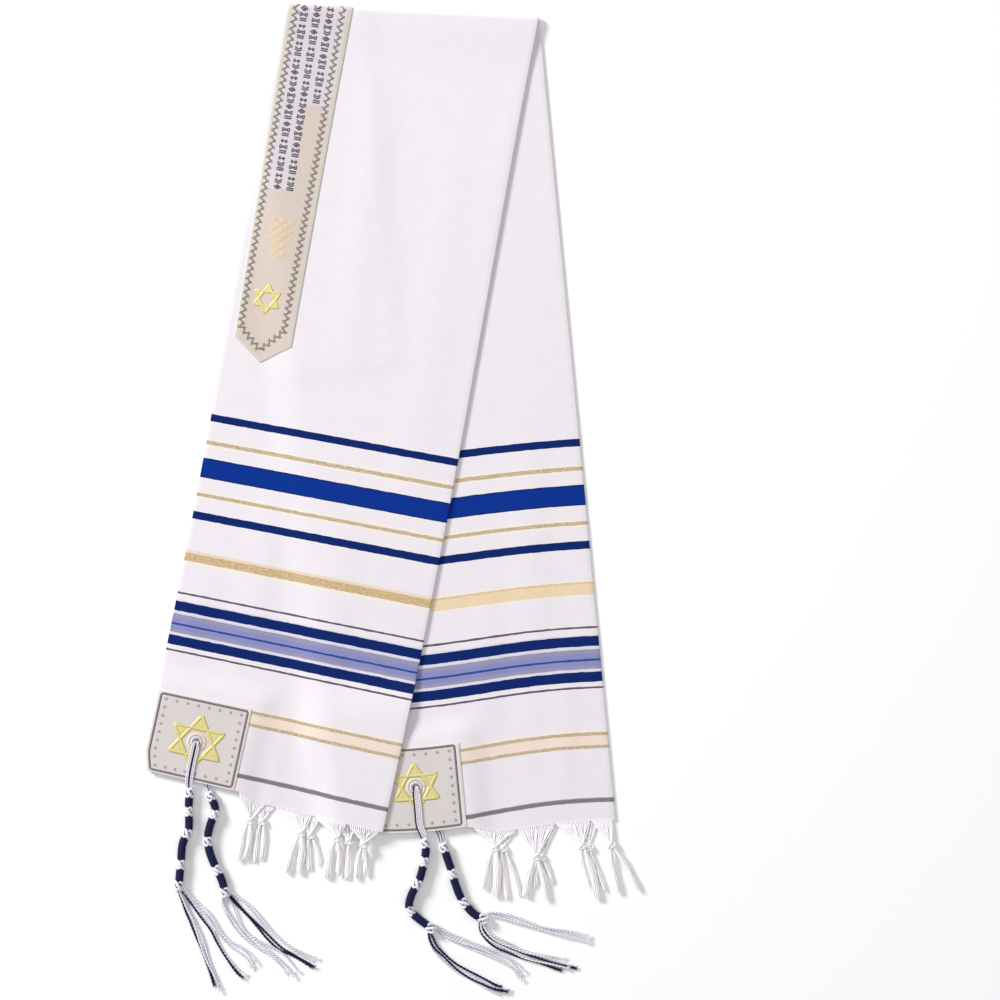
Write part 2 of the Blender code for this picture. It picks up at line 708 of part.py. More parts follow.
def make_fringe(name, finish):
    """A backing strip just off the cloth's end, and bundles of threads gathered into knots."""
    leg, on_band_face = CORNERS[name]
    sign = LEG_SIGN[leg]
    layer = name.split("_")[1]
    lay = FRINGE_LAY[layer]
    middle = CLOTH / 2 if on_band_face else STACK - CLOTH / 2
    rows = [[] for _ in range(7)]

    def beyond(across, out):
        """A place beyond the leg's end, level with the middle of this layer."""
        return Vector(shawl_point(across, sign * (LEG_END[leg] + out), middle))

    def add(row, centre, width, height):
        aside = CREASE_HEADING * width / 2
        rows[row].append((centre - aside, centre + aside, height / 2))

    for root_from, root_to, knot_at, knot_out, tip_from, tip_to, tip_out in FRINGE[name]:
        knot = beyond(knot_at, knot_out)
        edge = beyond(knot_at, 0.0).z
        knot.z = max(lay + FRINGE_KNOT_HEIGHT / 2, edge - KNOT_DROP[layer])
        fall = beyond((tip_from + tip_to) / 2, tip_out)
        fall.z = knot.z
        heading = (fall - knot).normalized()
        for index in range(LOCKS):
            part = index / (LOCKS - 1)
            aside = 2 * part - 1
            root_at = root_from + (root_to - root_from) * part
            for row, out in ((0, SEAM), (1, SEAM + STRIP_WIDTH)):
                sides = [beyond(at, fringed_end(leg, at) - LEG_END[leg] + out)
                         for at in (root_at - ROOT / 2, root_at + ROOT / 2)]
                rows[row].append((*sides, CLOTH / 2))
            for row, along, bulge in KNOT_ROWS:
                place = knot + heading * along * FRINGE_KNOT_LENGTH
                place += CREASE_HEADING * aside * bulge * FRINGE_KNOT_WIDTH / 2
                add(row, place, FRINGE_KNOT_WIDTH * bulge / (3 * LOCKS),
                    FRINGE_KNOT_HEIGHT * bulge * (1 - aside ** 2 / 2))
            tip = beyond(tip_from + (tip_to - tip_from) * part,
                         tip_out + UNEVEN * sin(2 * index + root_from))
            tip.z = lay + LOCK / 2
            add(5, knot.lerp(tip, BELLY) + CREASE_HEADING * aside * BELLY_SPREAD / 2,
                LOCK_WIDTH, LOCK)
            add(6, tip, LOCK_WIDTH, LOCK)

    def joined(strand, row):
        within = strand % LOCKS != LOCKS - 1
        return row == 0 or (within and row in (2, 3))

    return comb_solid("fringe_" + name, rows, joined, finish)


for old in list(bpy.data.objects):
    bpy.data.objects.remove(old)
PARTS = bpy.data.collections.new("tallit")
CUTTERS = bpy.data.collections.new("cutters")
for group in (PARTS, CUTTERS):
    bpy.context.scene.collection.children.link(group)

WHITE_WEAVE = material("white_weave", (0.88, 0.86, 0.87), 0.85)
BAND_WEAVE = material("band_weave", (0.74, 0.67, 0.60), 0.7)
PATCH_WEAVE = material("patch_weave", (0.70, 0.65, 0.62), 0.7)
CORD = material("navy_cord", (0.01, 0.015, 0.09), 0.8)
FRINGE_THREAD = material("fringe_thread", (0.86, 0.85, 0.86), 0.9)

cloth = make_cloth(WHITE_WEAVE)
make_atarah(BAND_WEAVE)
for place in CORNERS:
    cut_eyelet(place, make_patch(place, PATCH_WEAVE), cloth)
    make_tassel(place, CORD)
    make_fringe(place, FRINGE_THREAD)
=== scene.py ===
"""A tallit prayer shawl, folded in two each way and laid flat: its woven cloth, neckband, corner
squares, knotted tassels and fringe. Lengths are in millimetres until to_metres() places them."""

from math import atan2, cos, pi, radians, sin, sqrt, tan

import bmesh
import bpy
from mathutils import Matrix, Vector


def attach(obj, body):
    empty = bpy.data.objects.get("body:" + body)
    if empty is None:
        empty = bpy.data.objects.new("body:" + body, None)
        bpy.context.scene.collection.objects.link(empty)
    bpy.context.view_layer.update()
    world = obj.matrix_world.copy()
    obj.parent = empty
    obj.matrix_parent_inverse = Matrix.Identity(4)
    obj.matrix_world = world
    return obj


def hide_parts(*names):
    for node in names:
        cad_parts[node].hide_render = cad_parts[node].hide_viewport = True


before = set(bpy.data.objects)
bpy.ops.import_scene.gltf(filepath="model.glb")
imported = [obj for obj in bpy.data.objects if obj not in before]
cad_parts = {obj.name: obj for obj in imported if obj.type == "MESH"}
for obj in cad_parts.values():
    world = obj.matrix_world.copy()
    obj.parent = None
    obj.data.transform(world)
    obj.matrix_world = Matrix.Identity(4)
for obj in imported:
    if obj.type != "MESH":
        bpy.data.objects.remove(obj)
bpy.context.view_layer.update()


# ------------------------------------------------------------------- surface, light and camera
# A white table, lit softly from the upper left, and a camera straight above it. The long lens
# keeps both fringed ends at one scale. This section's own sizes are in metres.

def linear(code):
    """An sRGB hex colour as the linear colour that shaders take."""
    values = [int(code[place:place + 2], 16) / 255 for place in (1, 3, 5)]
    return tuple(value / 12.92 if value <= 0.04045 else ((value + 0.055) / 1.055) ** 2.4
                 for value in values) + (1.0,)


def set_inputs(tree, node, inputs):
    """Gives each input of a shader node its value, or links it to a socket. A node stands for its
    first output."""
    for socket, value in inputs.items():
        if isinstance(value, bpy.types.Node):
            value = value.outputs[0]
        if isinstance(value, bpy.types.NodeSocket):
            tree.links.new(value, node.inputs[socket])
        else:
            node.inputs[socket].default_value = value


def new_material(name):
    """A material, its node tree and its Principled shader."""
    made = bpy.data.materials.new(name)
    made.use_nodes = True
    return made, made.node_tree, made.node_tree.nodes["Principled BSDF"]


def add_object(name, shape, *materials):
    """An object of a mesh or a curve, with its materials in order."""
    made = bpy.data.objects.new(name, shape)
    bpy.context.scene.collection.objects.link(made)
    for finish in materials:
        shape.materials.append(finish)
    return made


def mesh_from(name, shape):
    """Ends a bmesh as a mesh."""
    mesh = bpy.data.meshes.new(name)
    shape.to_mesh(mesh)
    shape.free()
    return mesh


# A melamine table top: plain white, and matt enough that no lamp shows in it.
TABLE_SIZE = 8.0
TABLE_DROP = 0.0002
table_white, tree, shader = new_material("white_melamine")
set_inputs(tree, shader, {"Base Color": linear("#fdfdfd"), "Roughness": 0.9,
                          "Specular IOR Level": 0.1})
shape = bmesh.new()
bmesh.ops.create_grid(shape, x_segments=1, y_segments=1, size=TABLE_SIZE / 2)
bmesh.ops.translate(shape, verts=shape.verts, vec=(0, 0, -TABLE_DROP))
add_object("table_top", mesh_from("table_top", shape), table_white)

# The camera's height makes the view as wide as the shawl and its tassels are long.
VIEW_CENTRE = (0.1168, 0.0011, 0.004)
VIEW_WIDTH = 1.12
LENS = 110
SENSOR = 36
lens = bpy.data.cameras.new("camera")
lens.lens = LENS
lens.sensor_width = SENSOR
camera = bpy.data.objects.new("camera", lens)
camera.location = Vector(VIEW_CENTRE) + Vector((0, 0, VIEW_WIDTH * LENS / SENSOR))
bpy.context.scene.collection.objects.link(camera)
bpy.context.scene.camera = camera

# Each light: where it stands, its size and its power in watts. Both face the shawl, and white
# walls round the room fill the shadows.
LIGHTS = {
    "window": ((-4.5, 3.2, 3.0), 1.6, 420.0),
    "overhead": ((0.7, -0.2, 3.2), 3.0, 26.0),
}
LIT_PLACE = Vector((0.1, 0, 0))
WALL_LIGHT = 0.40
for name, (place, size, power) in LIGHTS.items():
    glow = bpy.data.lights.new(name, 'AREA')
    glow.size = size
    glow.energy = power
    lamp = bpy.data.objects.new(name, glow)
    lamp.location = place
    lamp.rotation_euler = (LIT_PLACE - lamp.location).to_track_quat('-Z', 'Y').to_euler()
    bpy.context.scene.collection.objects.link(lamp)
world = bpy.data.worlds.new("studio")
bpy.context.scene.world = world
world.use_nodes = True
set_inputs(world.node_tree, world.node_tree.nodes["Background"],
           {"Color": linear("#ffffff"), "Strength": WALL_LIGHT})
bpy.context.scene.view_settings.view_transform = 'Standard'


# --------------------------------------------------------------------------------- woven cloth
# One length of white cotton cloth, folded in two along its length, then across over a slanting
# crease. Its stripes are woven in: navy, royal and lavender yarns, and flat gilt tinsel.

MM = 0.001

# The folded cloth: its width, each leg's length from the crease, its thickness and drawn wall,
# the gap between its layers, and the gap left at each seam.
HALF_WIDTH = 279.0
FRONT_END = 885.0
BACK_END = 946.0
CLOTH = 1.0
CLOTH_WALL = 0.9
LAYER_GAP = 0.5
STACK = 2 * CLOTH + LAYER_GAP
SEAM = 0.3

# Where the crease's corner lies on the table, how the legs and the crease are turned, how round
# the crease is, and how the front leg settles on the back one and comes down beside it.
FOLD_CORNER = (-120.6, 554.4)
FRONT_TILT = radians(10.85)
BACK_TILT = radians(5.44)
SLANT = (FRONT_TILT + BACK_TILT) / 2
CREASE_TILT = FRONT_TILT - SLANT
FOLD_RADIUS = 2.8
LEG_GAP = 0.8
LOFT_LENGTH = 60.0
SLOPE_WIDTH = 45.0

# The front leg bows sideways by BOW, as BOW_SCALE is one over the curve's peak. The back leg's
# end waves, and the front leg's end is pulled inwards at its open edges.
BOW = 5.0
BOW_SCALE = 6.75
WAVE = 4.3
WAVES_ACROSS = 0.95
CORNER_PULL = 6.0
PULL_FROM = 850.0
PULL_LENGTH = 30.0
PULL_WIDTH = 70.0

# The neckband, which lies under the back leg: its far edge, its point and its thickness.
ATARAH_FAR_EDGE = 72.4
ATARAH_REACH = 398.5
ATARAH = 0.9

# The corner squares, their inset from the open edge, and how far the cloth is cut back at them,
# with a step out beside them. Then their eyelets; the hidden squares' lie a little farther in.
PATCH_WIDTH = 105.0
PATCH_HEIGHT = 94.0
PATCH = 0.9
PATCH_INSET = {"front": 0.8, "back": 7.0}
NOTCH = {"front": 8.0, "back": 13.5}
NOTCH_FROM = 111.0
NOTCH_TO = {"front": 131.0, "back": 154.0}
LEG_END = {"front": FRONT_END, "back": BACK_END}
LEG_SIGN = {"front": 1, "back": -1}
EYELET_RADIUS = 4.5
EYELET_HEIGHT = {"front": 43.9, "back": 49.7}
EYELET_APART = 16.0

# How far all that lies under or between the layers lifts them, and how softly they rise to it.
STRING = 1.1
FLOOR_GAP = 0.1
CORNER_BED = FLOOR_GAP + STRING + SEAM + PATCH + SEAM
CORNER_OPENING = SEAM + STRING + SEAM - LAYER_GAP
ATARAH_BED = ATARAH + SEAM
EASE = 30.0
EASE_MARGIN = 4.0
OVERHANG = 26.0

# Soft ridges left by folding: from and to as (right, down) of FOLD_CORNER, width, height.
RIDGES = [
    ((110.0, 40.0), (82.0, 420.0), 34.0, 0.9),
    ((205.0, 90.0), (150.0, 640.0), 42.0, 0.7),
    ((20.0, 470.0), (-20.0, 770.0), 30.0, 0.8),
    ((262.0, 60.0), (226.0, 300.0), 26.0, 0.6),
    ((95.0, 560.0), (60.0, 860.0), 38.0, 1.0),
    ((-60.0, 640.0), (-92.0, 760.0), 26.0, 0.6),
    ((-10.0, 800.0), (-22.0, 885.0), 20.0, 0.8),
    ((28.0, 780.0), (20.0, 905.0), 18.0, 0.9),
    ((66.0, 760.0), (60.0, 900.0), 20.0, 0.7),
    ((285.0, 420.0), (318.0, 850.0), 32.0, 0.9),
    ((250.0, 620.0), (262.0, 905.0), 26.0, 0.8),
    ((222.0, 760.0), (226.0, 910.0), 20.0, 0.7),
    ((340.0, 700.0), (352.0, 895.0), 22.0, 0.8),
]
RIDGE_FADE = 0.7


def smooth(value):
    """An easy rise from 0 at 0 to 1 at 1."""
    value = min(max(value, 0.0), 1.0)
    return value * value * (3 - 2 * value)


def plateau(distance, flat, fall):
    """1 up to the distance flat, then an easy fall to 0."""
    return 1 - smooth((distance - flat) / fall)


def fringed_end(leg, across):
    """Where the cloth ends: cut back at the corner square, with a slanting step beside it."""
    step = (across - NOTCH_FROM) / (NOTCH_TO[leg] - NOTCH_FROM)
    return LEG_END[leg] - NOTCH[leg] * (1 - min(max(step, 0.0), 1.0))


def corner(leg, across, reach, spare=0.0):
    """1 under and over a corner square, and as far as spare past it, easing to 0 around that."""
    side = PATCH_INSET[leg] + PATCH_WIDTH + EASE_MARGIN + spare
    top = PATCH_HEIGHT + EASE_MARGIN + spare
    end = LEG_END[leg] - NOTCH[leg]
    return plateau(across, side, EASE + spare) * plateau(end - reach, top, EASE + spare)


def band_bed(across, reach):
    """How far the back leg is held off the table by the neckband."""
    band = plateau(across, ATARAH_FAR_EDGE + EASE_MARGIN, EASE)
    return ATARAH_BED * band * plateau(reach, ATARAH_REACH + EASE_MARGIN, EASE)


def back_bed(across, reach):
    """How far the back leg is held off the table, by the neckband and by the hidden square."""
    return band_bed(across, reach) + CORNER_BED * corner("back", across, reach)


def rise_over_back(right, down):
    """How far the front leg is held off the table by the back leg."""
    run = (down + FOLD_RADIUS * (pi / 2 - 1)) / cos(SLANT)
    across = (right - run * sin(SLANT)) * cos(SLANT)
    reach = run + across * tan(SLANT)
    height = band_bed(across, reach) + STACK + LEG_GAP
    corner_height = CORNER_BED + CORNER_OPENING + SEAM + PATCH
    height += corner_height * corner("back", across, reach, OVERHANG)
    height += (2 * FOLD_RADIUS - STACK - LEG_GAP) * plateau(down, FOLD_RADIUS, LOFT_LENGTH)
    return height * smooth((across + SLOPE_WIDTH + OVERHANG) / SLOPE_WIDTH)


def ridged(right, down):
    """How much the soft ridges raise the cloth at a place."""
    total = 0.0
    here = Vector((right, down))
    for start, end, width, height in RIDGES:
        start = Vector(start)
        run = Vector(end) - start
        part = (here - start).dot(run) / run.length_squared
        aside = abs((here - start).cross(run)) / run.length / width
        if 0 < part < 1 and aside < 1:
            total += height * smooth(1 - aside) * sin(pi * part) ** RIDGE_FADE
    return total


def shawl_point(across, along, depth):
    """A point of the folded cloth: across from the open edges, along from the crease, positive on
    the front leg, and depth from the neckband's face."""
    pull = smooth((along - PULL_FROM) / PULL_LENGTH)
    across += CORNER_PULL * pull * plateau(across, 0.0, PULL_WIDTH)
    run = along + across * tan(SLANT)
    sway = 0.0
    if run >= 0:
        part = max(along, 0.0) / FRONT_END
        sway = BOW * BOW_SCALE * part ** 2 * (1 - part)
        turn = BOW * BOW_SCALE * (2 * part - 3 * part ** 2) / FRONT_END
        run += sway * tan(SLANT) - turn * (across - HALF_WIDTH / 2)
    else:
        run -= WAVE * sin(WAVES_ACROSS * 2 * pi * across / HALF_WIDTH) * (run / BACK_END) ** 2
    right = (across + sway) / cos(SLANT) - run * sin(SLANT)
    around = run * cos(SLANT)
    quarter = FOLD_RADIUS * pi / 2
    down = abs(around) + FOLD_RADIUS - quarter
    if abs(around) < quarter:
        angle = around / FOLD_RADIUS
        radius = FOLD_RADIUS + STACK / 2 - depth
        down = FOLD_RADIUS - radius * cos(angle)
        height = back_bed(across, -along) + STACK / 2 + FOLD_RADIUS + radius * sin(angle)
    elif around > 0:
        lifted = corner("front", across, along)
        height = rise_over_back(right, down) + CORNER_BED * lifted + STACK - depth
        height += ridged(right, down)
        if depth < STACK / 2:
            height += CORNER_OPENING * lifted
    else:
        height = back_bed(across, -along) + depth
        height += ridged(right, down) * smooth(depth / STACK)
        if depth > STACK / 2:
            height += CORNER_OPENING * corner("back", across, -along)
    return (FOLD_CORNER[0] + right * cos(CREASE_TILT) - down * sin(CREASE_TILT),
            FOLD_CORNER[1] - right * sin(CREASE_TILT) - down * cos(CREASE_TILT),
            height)


def to_metres(point):
    """A point in millimetres, as the vector in metres that meshes and curves take."""
    return Vector(point) * MM


def laid_grid(columns, rows, place):
    """A grid of cloth. Each vertex is laid by place(column, row), which gives its point and the
    UV that its weave follows."""
    shape = bmesh.new()
    bmesh.ops.create_grid(shape, x_segments=columns, y_segments=rows, size=1.0)
    threads = {}
    for vert in shape.verts:
        column = round((vert.co.x + 1) / 2 * columns)
        row = round((vert.co.y + 1) / 2 * rows)
        point, threads[vert] = place(column, row)
        vert.co = to_metres(point)
    layer = shape.loops.layers.uv.new("threads")
    for face in shape.faces:
        face.smooth = True
        for loop in face.loops:
            loop[layer].uv = threads[loop.vert]
    return shape


def face_middle(shape, face):
    """The middle of a laid face, in millimetres of the flat cloth."""
    threads = shape.loops.layers.uv.active
    spots = [loop[threads].uv / MM for loop in face.loops]
    return sum(spots, Vector((0, 0))) / len(spots)


def add_thickness(made, thickness):
    """Gives a thin shell its wall, half to each side of it."""
    wall = made.modifiers.new("thickness", 'SOLIDIFY')
    wall.thickness = thickness * MM
    wall.offset = 0.0
    wall.use_even_offset = False


# The opened cloth: columns from the upper layer's open edge, round the fold, to the lower one's.
# The first column and row beside each edge are narrow, so that the edge's rounding stays narrow.
COLUMN_STEP = 5.6
EDGE_STEP = 0.4
FOLD_TURNS = 6
edge_across = HALF_WIDTH - STACK / 2
layer_columns = round(edge_across / COLUMN_STEP)
places = [0.0, EDGE_STEP]
places += [edge_across * index / layer_columns for index in range(1, layer_columns + 1)]
cloth_columns = [(across, CLOTH / 2) for across in places]
fold = (STACK - CLOTH) / 2
for index in range(1, FOLD_TURNS):
    turn = pi / 2 - pi * index / FOLD_TURNS
    cloth_columns.append((edge_across + fold * cos(turn), STACK / 2 - fold * sin(turn)))
cloth_columns += [(across, STACK - CLOTH / 2) for across in reversed(places)]
opened = [0.0]
for (across, depth), (next_across, next_depth) in zip(cloth_columns, cloth_columns[1:]):
    opened.append(opened[-1] + sqrt((next_across - across) ** 2 + (next_depth - depth) ** 2))

# Rows follow the fringed ends at both ends of the cloth and the slanting crease in its middle.
ROW_STEP = 5.6
LOFT_ROWS = (66.0, 55.0, 45.0, 36.0, 28.0, 21.0, 15.0, 10.0, 6.8)
CREASE_TURNS = 8
quarter_turn = FOLD_RADIUS * pi / 2
crease_rows = list(LOFT_ROWS)
crease_rows += [quarter_turn * (1 - 2 * index / CREASE_TURNS) for index in range(CREASE_TURNS + 1)]
crease_rows += [-distance for distance in reversed(LOFT_ROWS)]
front_rows = round((FRONT_END - LOFT_ROWS[0]) / ROW_STEP)
back_rows = round((BACK_END - LOFT_ROWS[0]) / ROW_STEP)
row_count = front_rows + len(crease_rows) - 1 + back_rows


def row_part(row, rows, length):
    """How far along, from 0 to 1, the rows from a piece's end lie. The first one is narrow."""
    return EDGE_STEP / length if row == 1 else max(row - 1, 0) / (rows - 1)


def row_along(row, across):
    """How far along the cloth a row crosses a column."""
    crease = -across * tan(SLANT)
    if row < front_rows:
        end = fringed_end("front", across)
        start = crease + crease_rows[0] / cos(SLANT)
        return end + (start - end) * row_part(row, front_rows, FRONT_END)
    if row < front_rows + len(crease_rows):
        return crease + crease_rows[row - front_rows] / cos(SLANT)
    end = -fringed_end("back", across)
    start = crease + crease_rows[-1] / cos(SLANT)
    return end + (start - end) * row_part(row_count - row, back_rows, BACK_END)


# The front leg's lower layer peeks out along the open edge: how far, over how much of the width,
# over what length it comes out, and where it goes back in again.
PEEK = 2.6
PEEK_WIDTH = 150.0
PEEK_COMES = 200.0
PEEK_END = 790.0
PEEK_GOES = 40.0


def lay_cloth(column, row):
    """A place of the cloth, on its upper layer, round its fold or on its lower one."""
    across, depth = cloth_columns[column]
    along = row_along(row, across)
    peek = PEEK * smooth((PEEK_WIDTH - across) / PEEK_WIDTH) * smooth(along / PEEK_COMES)
    peek *= smooth((PEEK_END - along) / PEEK_GOES)
    shifted = across - peek if depth > STACK / 2 else across
    return shawl_point(shifted, along, depth), (opened[column] * MM, along * MM)


# Each corner: its leg, and whether its square is on the neckband's face.
CORNERS = {
    "front_top": ("front", True),
    "front_under": ("front", False),
    "back_top": ("back", False),
    "back_under": ("back", True),
}
HOLE_MARGIN = 1.2


def eyelet_place(name):
    """Across and along of a corner's eyelet. The hidden one lies a little farther in."""
    leg, _ = CORNERS[name]
    across = PATCH_INSET[leg] + PATCH_WIDTH / 2
    if name.endswith("under"):
        across += EYELET_APART
    return across, LEG_SIGN[leg] * (LEG_END[leg] - NOTCH[leg] - EYELET_HEIGHT[leg])


# The cloth is cut out behind each eyelet, where the square covers the cut's edge.
shape = laid_grid(len(cloth_columns) - 1, row_count, lay_cloth)
holes = []
for name, (leg, on_band_face) in CORNERS.items():
    across, along = eyelet_place(name)
    if not on_band_face:
        across = opened[-1] - across
    eyelet = Vector((across, along))
    for face in shape.faces:
        if (face_middle(shape, face) - eyelet).length < EYELET_RADIUS + HOLE_MARGIN:
            holes.append(face)
bmesh.ops.delete(shape, geom=holes, context='FACES')

# Cotton, plain woven: matt and faintly fuzzy, with threads just seen. Real threads are 0.5 mm
# apart; they are drawn 2 mm apart, so that they show from a step away. Thicker places in the yarn
# mottle it, and a weft yarn never lies quite straight, so a stripe's edge wanders.
THREAD_PITCH = 2.0
SLUB = 18.2
WANDER = 0.7
WANDER_CELL = (11.1, 1.43)
FLECK_CELL = (3.85, 1.92)
GROUND_SHOWS = 0.3
FOIL_METALLIC = 0.35
WHITE, NAVY, ROYAL, DEEP = "#ece6ec", "#072467", "#00308e", "#062a6c"
LILAC, LAVENDER, LAVENDER_BLUE, MID_BLUE = "#dcd8e8", "#9995b0", "#878ec0", "#364892"
SLATE, ASH, DARK = "#827a81", "#9a9599", "#625969"
GILT, AMBER, OLD_GILT, STRAW = "#c0a985", "#c9ab78", "#ddc29a", "#ead3ab"
SAND, PEACH, CREAM = "#ead6bf", "#f0ddd0", "#f3e9e1"

# The stripes, from the hem line towards the crease: where each starts, its yarn, and 1 where the
# yarn is gilt tinsel. The back leg's lie a little farther apart. Each group has a colour ramp of
# its own, since a ramp keeps only 256 places.
HEM_LINE = {"front": 859.6, "back": 922.6}
BACK_STRETCH = 1.033
GROUP_MARGIN = 2.0
STRIPES = [
    [(-2.6, ASH, 0), (-1.8, SLATE, 0), (1.8, ASH, 0), (2.6, WHITE, 0),
     (56.6, GILT, 1), (60.2, PEACH, 0), (70.7, GILT, 1), (74.3, CREAM, 0), (77.0, WHITE, 0)],
    [(121.9, DARK, 0), (124.2, WHITE, 0), (129.2, NAVY, 0), (140.2, LILAC, 0),
     (143.4, LAVENDER, 0), (147.0, LAVENDER_BLUE, 0), (152.1, MID_BLUE, 0),
     (154.4, LAVENDER_BLUE, 0), (160.0, LAVENDER, 0), (164.9, LILAC, 0), (168.2, NAVY, 0),
     (179.2, LILAC, 0), (180.8, WHITE, 0), (187.7, DARK, 0), (190.0, WHITE, 0)],
    # The wide gilt stripe is alike on both legs; its paler back-leg colours are painted light.
    {"front": [(222.5, CREAM, 0), (226.0, AMBER, 1), (235.2, SAND, 0), (238.5, WHITE, 0)],
     "back": [(223.0, CREAM, 0), (224.6, STRAW, 1), (236.0, OLD_GILT, 1), (238.6, CREAM, 0),
              (240.6, WHITE, 0)]},
    [(273.9, NAVY, 0), (283.0, WHITE, 0), (297.8, CREAM, 0), (300.2, GILT, 1), (304.4, CREAM, 0),
     (307.0, WHITE, 0), (321.8, DEEP, 0), (323.8, ROYAL, 0), (342.0, DEEP, 0), (344.0, WHITE, 0),
     (357.2, CREAM, 0), (359.6, GILT, 1), (364.0, CREAM, 0), (366.5, WHITE, 0),
     (385.9, NAVY, 0), (394.4, WHITE, 0)],
]


def add_node(tree, kind, inputs=None, **settings):
    """A shader node, with its settings, and its inputs as values or as what they link to."""
    made = tree.nodes.new("ShaderNode" + kind)
    for name, value in settings.items():
        setattr(made, name, value)
    set_inputs(tree, made, inputs or {})
    return made


def cells(across, along):
    """A pattern's scale, from the size of its cells in millimetres."""
    return 1 / (across * MM), 1 / (along * MM), 1.0


cotton, tree, shader = new_material("cotton_plain_weave")
weave = add_node(tree, "UVMap", uv_map="threads")
split = add_node(tree, "SeparateXYZ", {0: weave})
from_front = add_node(tree, "Math", {0: HEM_LINE["front"] * MM, 1: split.outputs["Y"]},
                      operation='SUBTRACT')
from_back = add_node(tree, "Math", {0: HEM_LINE["back"] * MM, 1: split.outputs["Y"]},
                     operation='ADD')
shrunk = add_node(tree, "Math", {0: from_back, 1: BACK_STRETCH}, operation='DIVIDE')
from_hem = add_node(tree, "Math", {0: from_front, 1: shrunk}, operation='MINIMUM')
stretched = add_node(tree, "Mapping", {"Vector": weave, "Scale": cells(*WANDER_CELL)})
wander = add_node(tree, "TexNoise", {"Vector": stretched, "Scale": 1.0, "Detail": 2.0})
wandering = add_node(tree, "MapRange", {"Value": wander, "To Min": -WANDER * MM,
                                        "To Max": WANDER * MM})
place_in = add_node(tree, "Math", {0: from_hem, 1: wandering}, operation='ADD')


def stripe_ramp(tree, table, what, value):
    """A colour ramp of a group's yarns, or of where they are tinsel, with white at its start."""
    table = [(table[0][0] - GROUP_MARGIN, WHITE, 0)] + table
    start, end = table[0][0], table[-1][0] + GROUP_MARGIN
    part = add_node(tree, "MapRange", {"Value": value, "From Min": start * MM,
                                       "From Max": end * MM})
    ramp = add_node(tree, "ValToRGB", {0: part})
    ramp.color_ramp.interpolation = 'CONSTANT'
    stops = ramp.color_ramp.elements
    stops.remove(stops[1])
    for index, (at, yarn, tinsel) in enumerate(table):
        stop = stops[0] if index == 0 else stops.new((at - start) / (end - start))
        stop.position = (at - start) / (end - start)
        stop.color = linear(yarn) if what == "yarn" else (tinsel, tinsel, tinsel, 1.0)
    return ramp


def ramp_by_leg(tree, tables, what, value, is_back):
    """The ramp of a group of stripes that differs on the two legs. A Mix node's colours are its
    inputs 6 and 7 and its output 2."""
    front = stripe_ramp(tree, tables["front"], what, value)
    back = stripe_ramp(tree, tables["back"], what, value)
    return add_node(tree, "Mix", {0: is_back, 6: front, 7: back}, data_type='RGBA').outputs[2]


is_back = add_node(tree, "Math", {0: 0.0, 1: split.outputs["Y"]}, operation='GREATER_THAN')
woven_colours = []
for what in ("yarn", "tinsel"):
    colour = stripe_ramp(tree, STRIPES[0], what, place_in)
    for group in STRIPES[1:]:
        if isinstance(group, dict):
            ramp = ramp_by_leg(tree, group, what, place_in, is_back)
            group = group["front"]
        else:
            ramp = stripe_ramp(tree, group, what, place_in)
        begins = (group[0][0] - GROUP_MARGIN) * MM
        reached = add_node(tree, "Math", {0: place_in, 1: begins}, operation='GREATER_THAN')
        mixed = add_node(tree, "Mix", {0: reached, 6: colour, 7: ramp}, data_type='RGBA')
        colour = mixed.outputs[2]
    woven_colours.append(colour)
yarn, tinsel = woven_colours
# Over and under: warp crowns in one set of squares, weft crowns in the other. A wave texture's
# bands are WAVE_PERIOD apart at a scale of 1.
checks = add_node(tree, "TexChecker", {"Vector": weave, "Scale": 1 / (THREAD_PITCH * MM)})
WAVE_PERIOD = 2 * pi / 20
crowns = [add_node(tree, "TexWave", {"Vector": weave, "Scale": WAVE_PERIOD / (THREAD_PITCH * MM)},
                   bands_direction=way).outputs["Fac"] for way in ("X", "Y")]
crown = add_node(tree, "Mix", {0: checks.outputs["Fac"], 2: crowns[0], 3: crowns[1]})
slub = add_node(tree, "TexNoise", {"Vector": weave, "Scale": 1 / (SLUB * MM),
                                   "Detail": 4.0, "Roughness": 0.6})
# The hollows between the crowns are darkened a little: painted shade.
painted_shade = add_node(tree, "MapRange", {"Value": crown, "To Min": 0.955, "To Max": 1.0})
mottle = add_node(tree, "MapRange", {"Value": slub, "From Min": 0.3, "From Max": 0.7,
                                     "To Min": 0.975, "To Max": 1.0})
tone = add_node(tree, "Math", {0: painted_shade, 1: mottle}, operation='MULTIPLY')
# Tinsel glints: flat foil faces the eye in places, and lets the white ground show in others.
flecks = add_node(tree, "Mapping", {"Vector": weave, "Scale": cells(*FLECK_CELL)})
fleck = add_node(tree, "TexNoise", {"Vector": flecks, "Scale": 1.0, "Detail": 1.0})
foil = add_node(tree, "MapRange", {"Value": fleck, "From Min": 0.35, "From Max": 0.6})
foil_here = add_node(tree, "Math", {0: foil, 1: tinsel}, operation='MULTIPLY')
bare = add_node(tree, "Math", {0: tinsel, 1: foil_here}, operation='SUBTRACT')
bare_share = add_node(tree, "Math", {0: bare, 1: GROUND_SHOWS}, operation='MULTIPLY')
thinned = add_node(tree, "Mix", {0: bare_share, 6: yarn, 7: linear(CREAM)}, data_type='RGBA')
toned = add_node(tree, "Mix", {0: 1.0, 6: thinned.outputs[2], 7: tone},
                 data_type='RGBA', blend_type='MULTIPLY')
metal = add_node(tree, "Math", {0: foil_here, 1: FOIL_METALLIC}, operation='MULTIPLY')
gloss = add_node(tree, "MapRange", {"Value": foil_here, "To Min": 0.88, "To Max": 0.42})
raised = add_node(tree, "Math", {0: crown, 1: slub}, operation='ADD')
relief = add_node(tree, "Bump", {"Height": raised, "Strength": 0.35, "Distance": 0.2 * MM})
